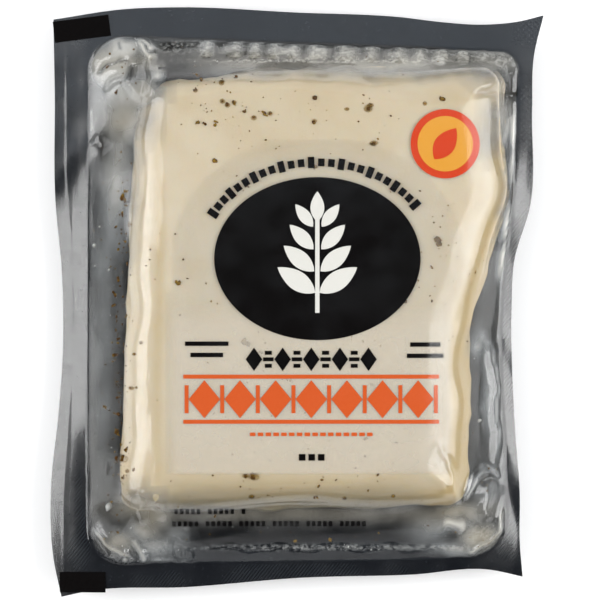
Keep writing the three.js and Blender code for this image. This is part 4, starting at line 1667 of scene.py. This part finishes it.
class HALLOUMI_OT_round_mark(bpy.types.Operator):
    """Print the plain round mark in red and yellow"""

    bl_idname = "halloumi.round_mark"
    bl_label = "Round mark"

    def execute(self, context):
        colours = context.scene.pack_colours
        red = ink_finish("red_ink", colours.ink_red, colours.ink_orange)
        yellow = ink_finish("yellow_ink", colours.ink_yellow, colours.ink_straw)
        rim = disc_shape(ROUND_MARK_MIDDLE, (ROUND_MARK_RADIUS, ROUND_MARK_RADIUS), rings=5)
        lay_print("print_round_mark", rim, red, depth=2)
        disc = disc_shape(ROUND_MARK_MIDDLE, (ROUND_DISC_RADIUS, ROUND_DISC_RADIUS), rings=4)
        lay_print("print_round_disc", disc, yellow, depth=1)
        leaf = bmesh.new()
        add_leaf(leaf, ROUND_MARK_MIDDLE, ROUND_LEAF, math.radians(ROUND_LEAF_TURN))
        lay_print("print_round_leaf", leaf, red)
        return {"FINISHED"}


class HALLOUMI_OT_dark_marks(bpy.types.Operator):
    """Print the black corner marks and the rows of dots at the foot"""

    bl_idname = "halloumi.dark_marks"
    bl_label = "Corner marks and dots"

    def execute(self, context):
        colours = context.scene.pack_colours
        black = ink_finish("mark_ink", colours.ink_black, colours.ink_grey)
        bm = bmesh.new()
        for mark in CORNER_MARKS:
            add_bar(bm, mark.middle, mark.size, math.radians(mark.turn), mark.cells)
        lay_print("print_corner_marks", bm, black, CORNER_MARK_DEPTH)
        bm = bmesh.new()
        for row in CODE_ROWS:
            add_row(bm, row)
        lay_print("print_code_dots", bm, black)
        return {"FINISHED"}


class HALLOUMI_OT_front_film(bpy.types.Operator):
    """Make the clear film over the front"""

    bl_idname = "halloumi.front_film"
    bl_label = "Front film"

    def execute(self, context):
        piece = draped_sheet("front_film", FRONT_GRID, film_level, clear_film_finish())
        thicken(piece, context.scene.pack_sizes.film_thickness)
        return {"FINISHED"}


class HALLOUMI_OT_stage(bpy.types.Operator):
    """Make the floor, the softboxes and the camera"""

    bl_idname = "halloumi.stage"
    bl_label = "Stage"

    def softbox(self, scene, box):
        """A large flat light that faces the pack."""
        light = bpy.data.lights.new(box.name, "AREA")
        light.color = box.colour
        light.shape = "RECTANGLE"
        light.size, light.size_y = box.size
        radiance = getattr(scene.stage_settings, box.setting)
        light.energy = radiance * math.pi * box.size[0] * box.size[1]
        lamp = bpy.data.objects.new(box.name, light)
        lamp.location = box.place
        lamp.rotation_euler = (-Vector(box.place)).to_track_quat("-Z", "Y").to_euler()
        scene.collection.objects.link(lamp)

    def execute(self, context):
        scene = context.scene
        settings = scene.stage_settings
        bm = bmesh.new()
        bmesh.ops.create_grid(bm, x_segments=8, y_segments=8, size=FLOOR_HALF_SIZE)
        mesh = bpy.data.meshes.new("floor")
        bm.to_mesh(mesh)
        bm.free()
        mesh.materials.append(floor_finish())
        floor = bpy.data.objects.new("floor", mesh)
        scene.collection.objects.link(floor)

        for box in SOFTBOXES:
            self.softbox(scene, box)

        world = bpy.data.worlds.new("even_light")
        world.use_nodes = True
        backdrop = world.node_tree.nodes["Background"]
        backdrop.inputs["Color"].default_value = (1, 1, 1, 1)
        backdrop.inputs["Strength"].default_value = settings.fill_light
        world.cycles_visibility.glossy = False
        scene.world = world
        scene.view_settings.view_transform = "Standard"

        camera = bpy.data.cameras.new("camera")
        camera.sensor_width = SENSOR_WIDTH
        camera.lens = SENSOR_WIDTH * settings.camera_height / settings.view_width
        viewer = bpy.data.objects.new("camera", camera)
        across, along = VIEW_MIDDLE
        viewer.location = (across * MM, along * MM, settings.camera_height + SEAL_LEVEL * MM)
        scene.collection.objects.link(viewer)
        scene.camera = viewer
        return {"FINISHED"}


class HALLOUMI_PT_pack(bpy.types.Panel):
    """Lists the steps that build the pack"""

    bl_label = "Sealed halloumi pack"
    bl_idname = "HALLOUMI_PT_pack"
    bl_space_type = "VIEW_3D"
    bl_region_type = "UI"
    bl_category = "Halloumi"

    def draw(self, context):
        for step in STEPS:
            self.layout.operator(step.bl_idname)
        for group in (context.scene.pack_sizes, context.scene.pack_colours, context.scene.stage_settings):
            for name in group.bl_rna.properties.keys():
                if name not in {"rna_type", "name"}:
                    self.layout.prop(group, name)


STEPS = (
    HALLOUMI_OT_backing_film,
    HALLOUMI_OT_block,
    HALLOUMI_OT_brine,
    HALLOUMI_OT_flecks,
    HALLOUMI_OT_curd,
    HALLOUMI_OT_medallion,
    HALLOUMI_OT_bands,
    HALLOUMI_OT_round_mark,
    HALLOUMI_OT_dark_marks,
    HALLOUMI_OT_front_film,
    HALLOUMI_OT_stage,
)
GROUPS = (("pack_sizes", PackSizes), ("pack_colours", PackColours), ("stage_settings", StageSettings))


def register():
    """Registers the classes and hangs the settings on the scene."""
    for name, group in GROUPS:
        bpy.utils.register_class(group)
        setattr(bpy.types.Scene, name, bpy.props.PointerProperty(type=group))
    for step in STEPS:
        bpy.utils.register_class(step)
    bpy.utils.register_class(HALLOUMI_PT_pack)


def unregister():
    """Undoes register."""
    bpy.utils.unregister_class(HALLOUMI_PT_pack)
    for step in reversed(STEPS):
        bpy.utils.unregister_class(step)
    for name, group in reversed(GROUPS):
        delattr(bpy.types.Scene, name)
        bpy.utils.unregister_class(group)


def main():
    """Builds every piece and the stage."""
    register()
    for step in STEPS:
        area, action = step.bl_idname.split(".")
        getattr(getattr(bpy.ops, area), action)()


if __name__ == "__main__":
    main()
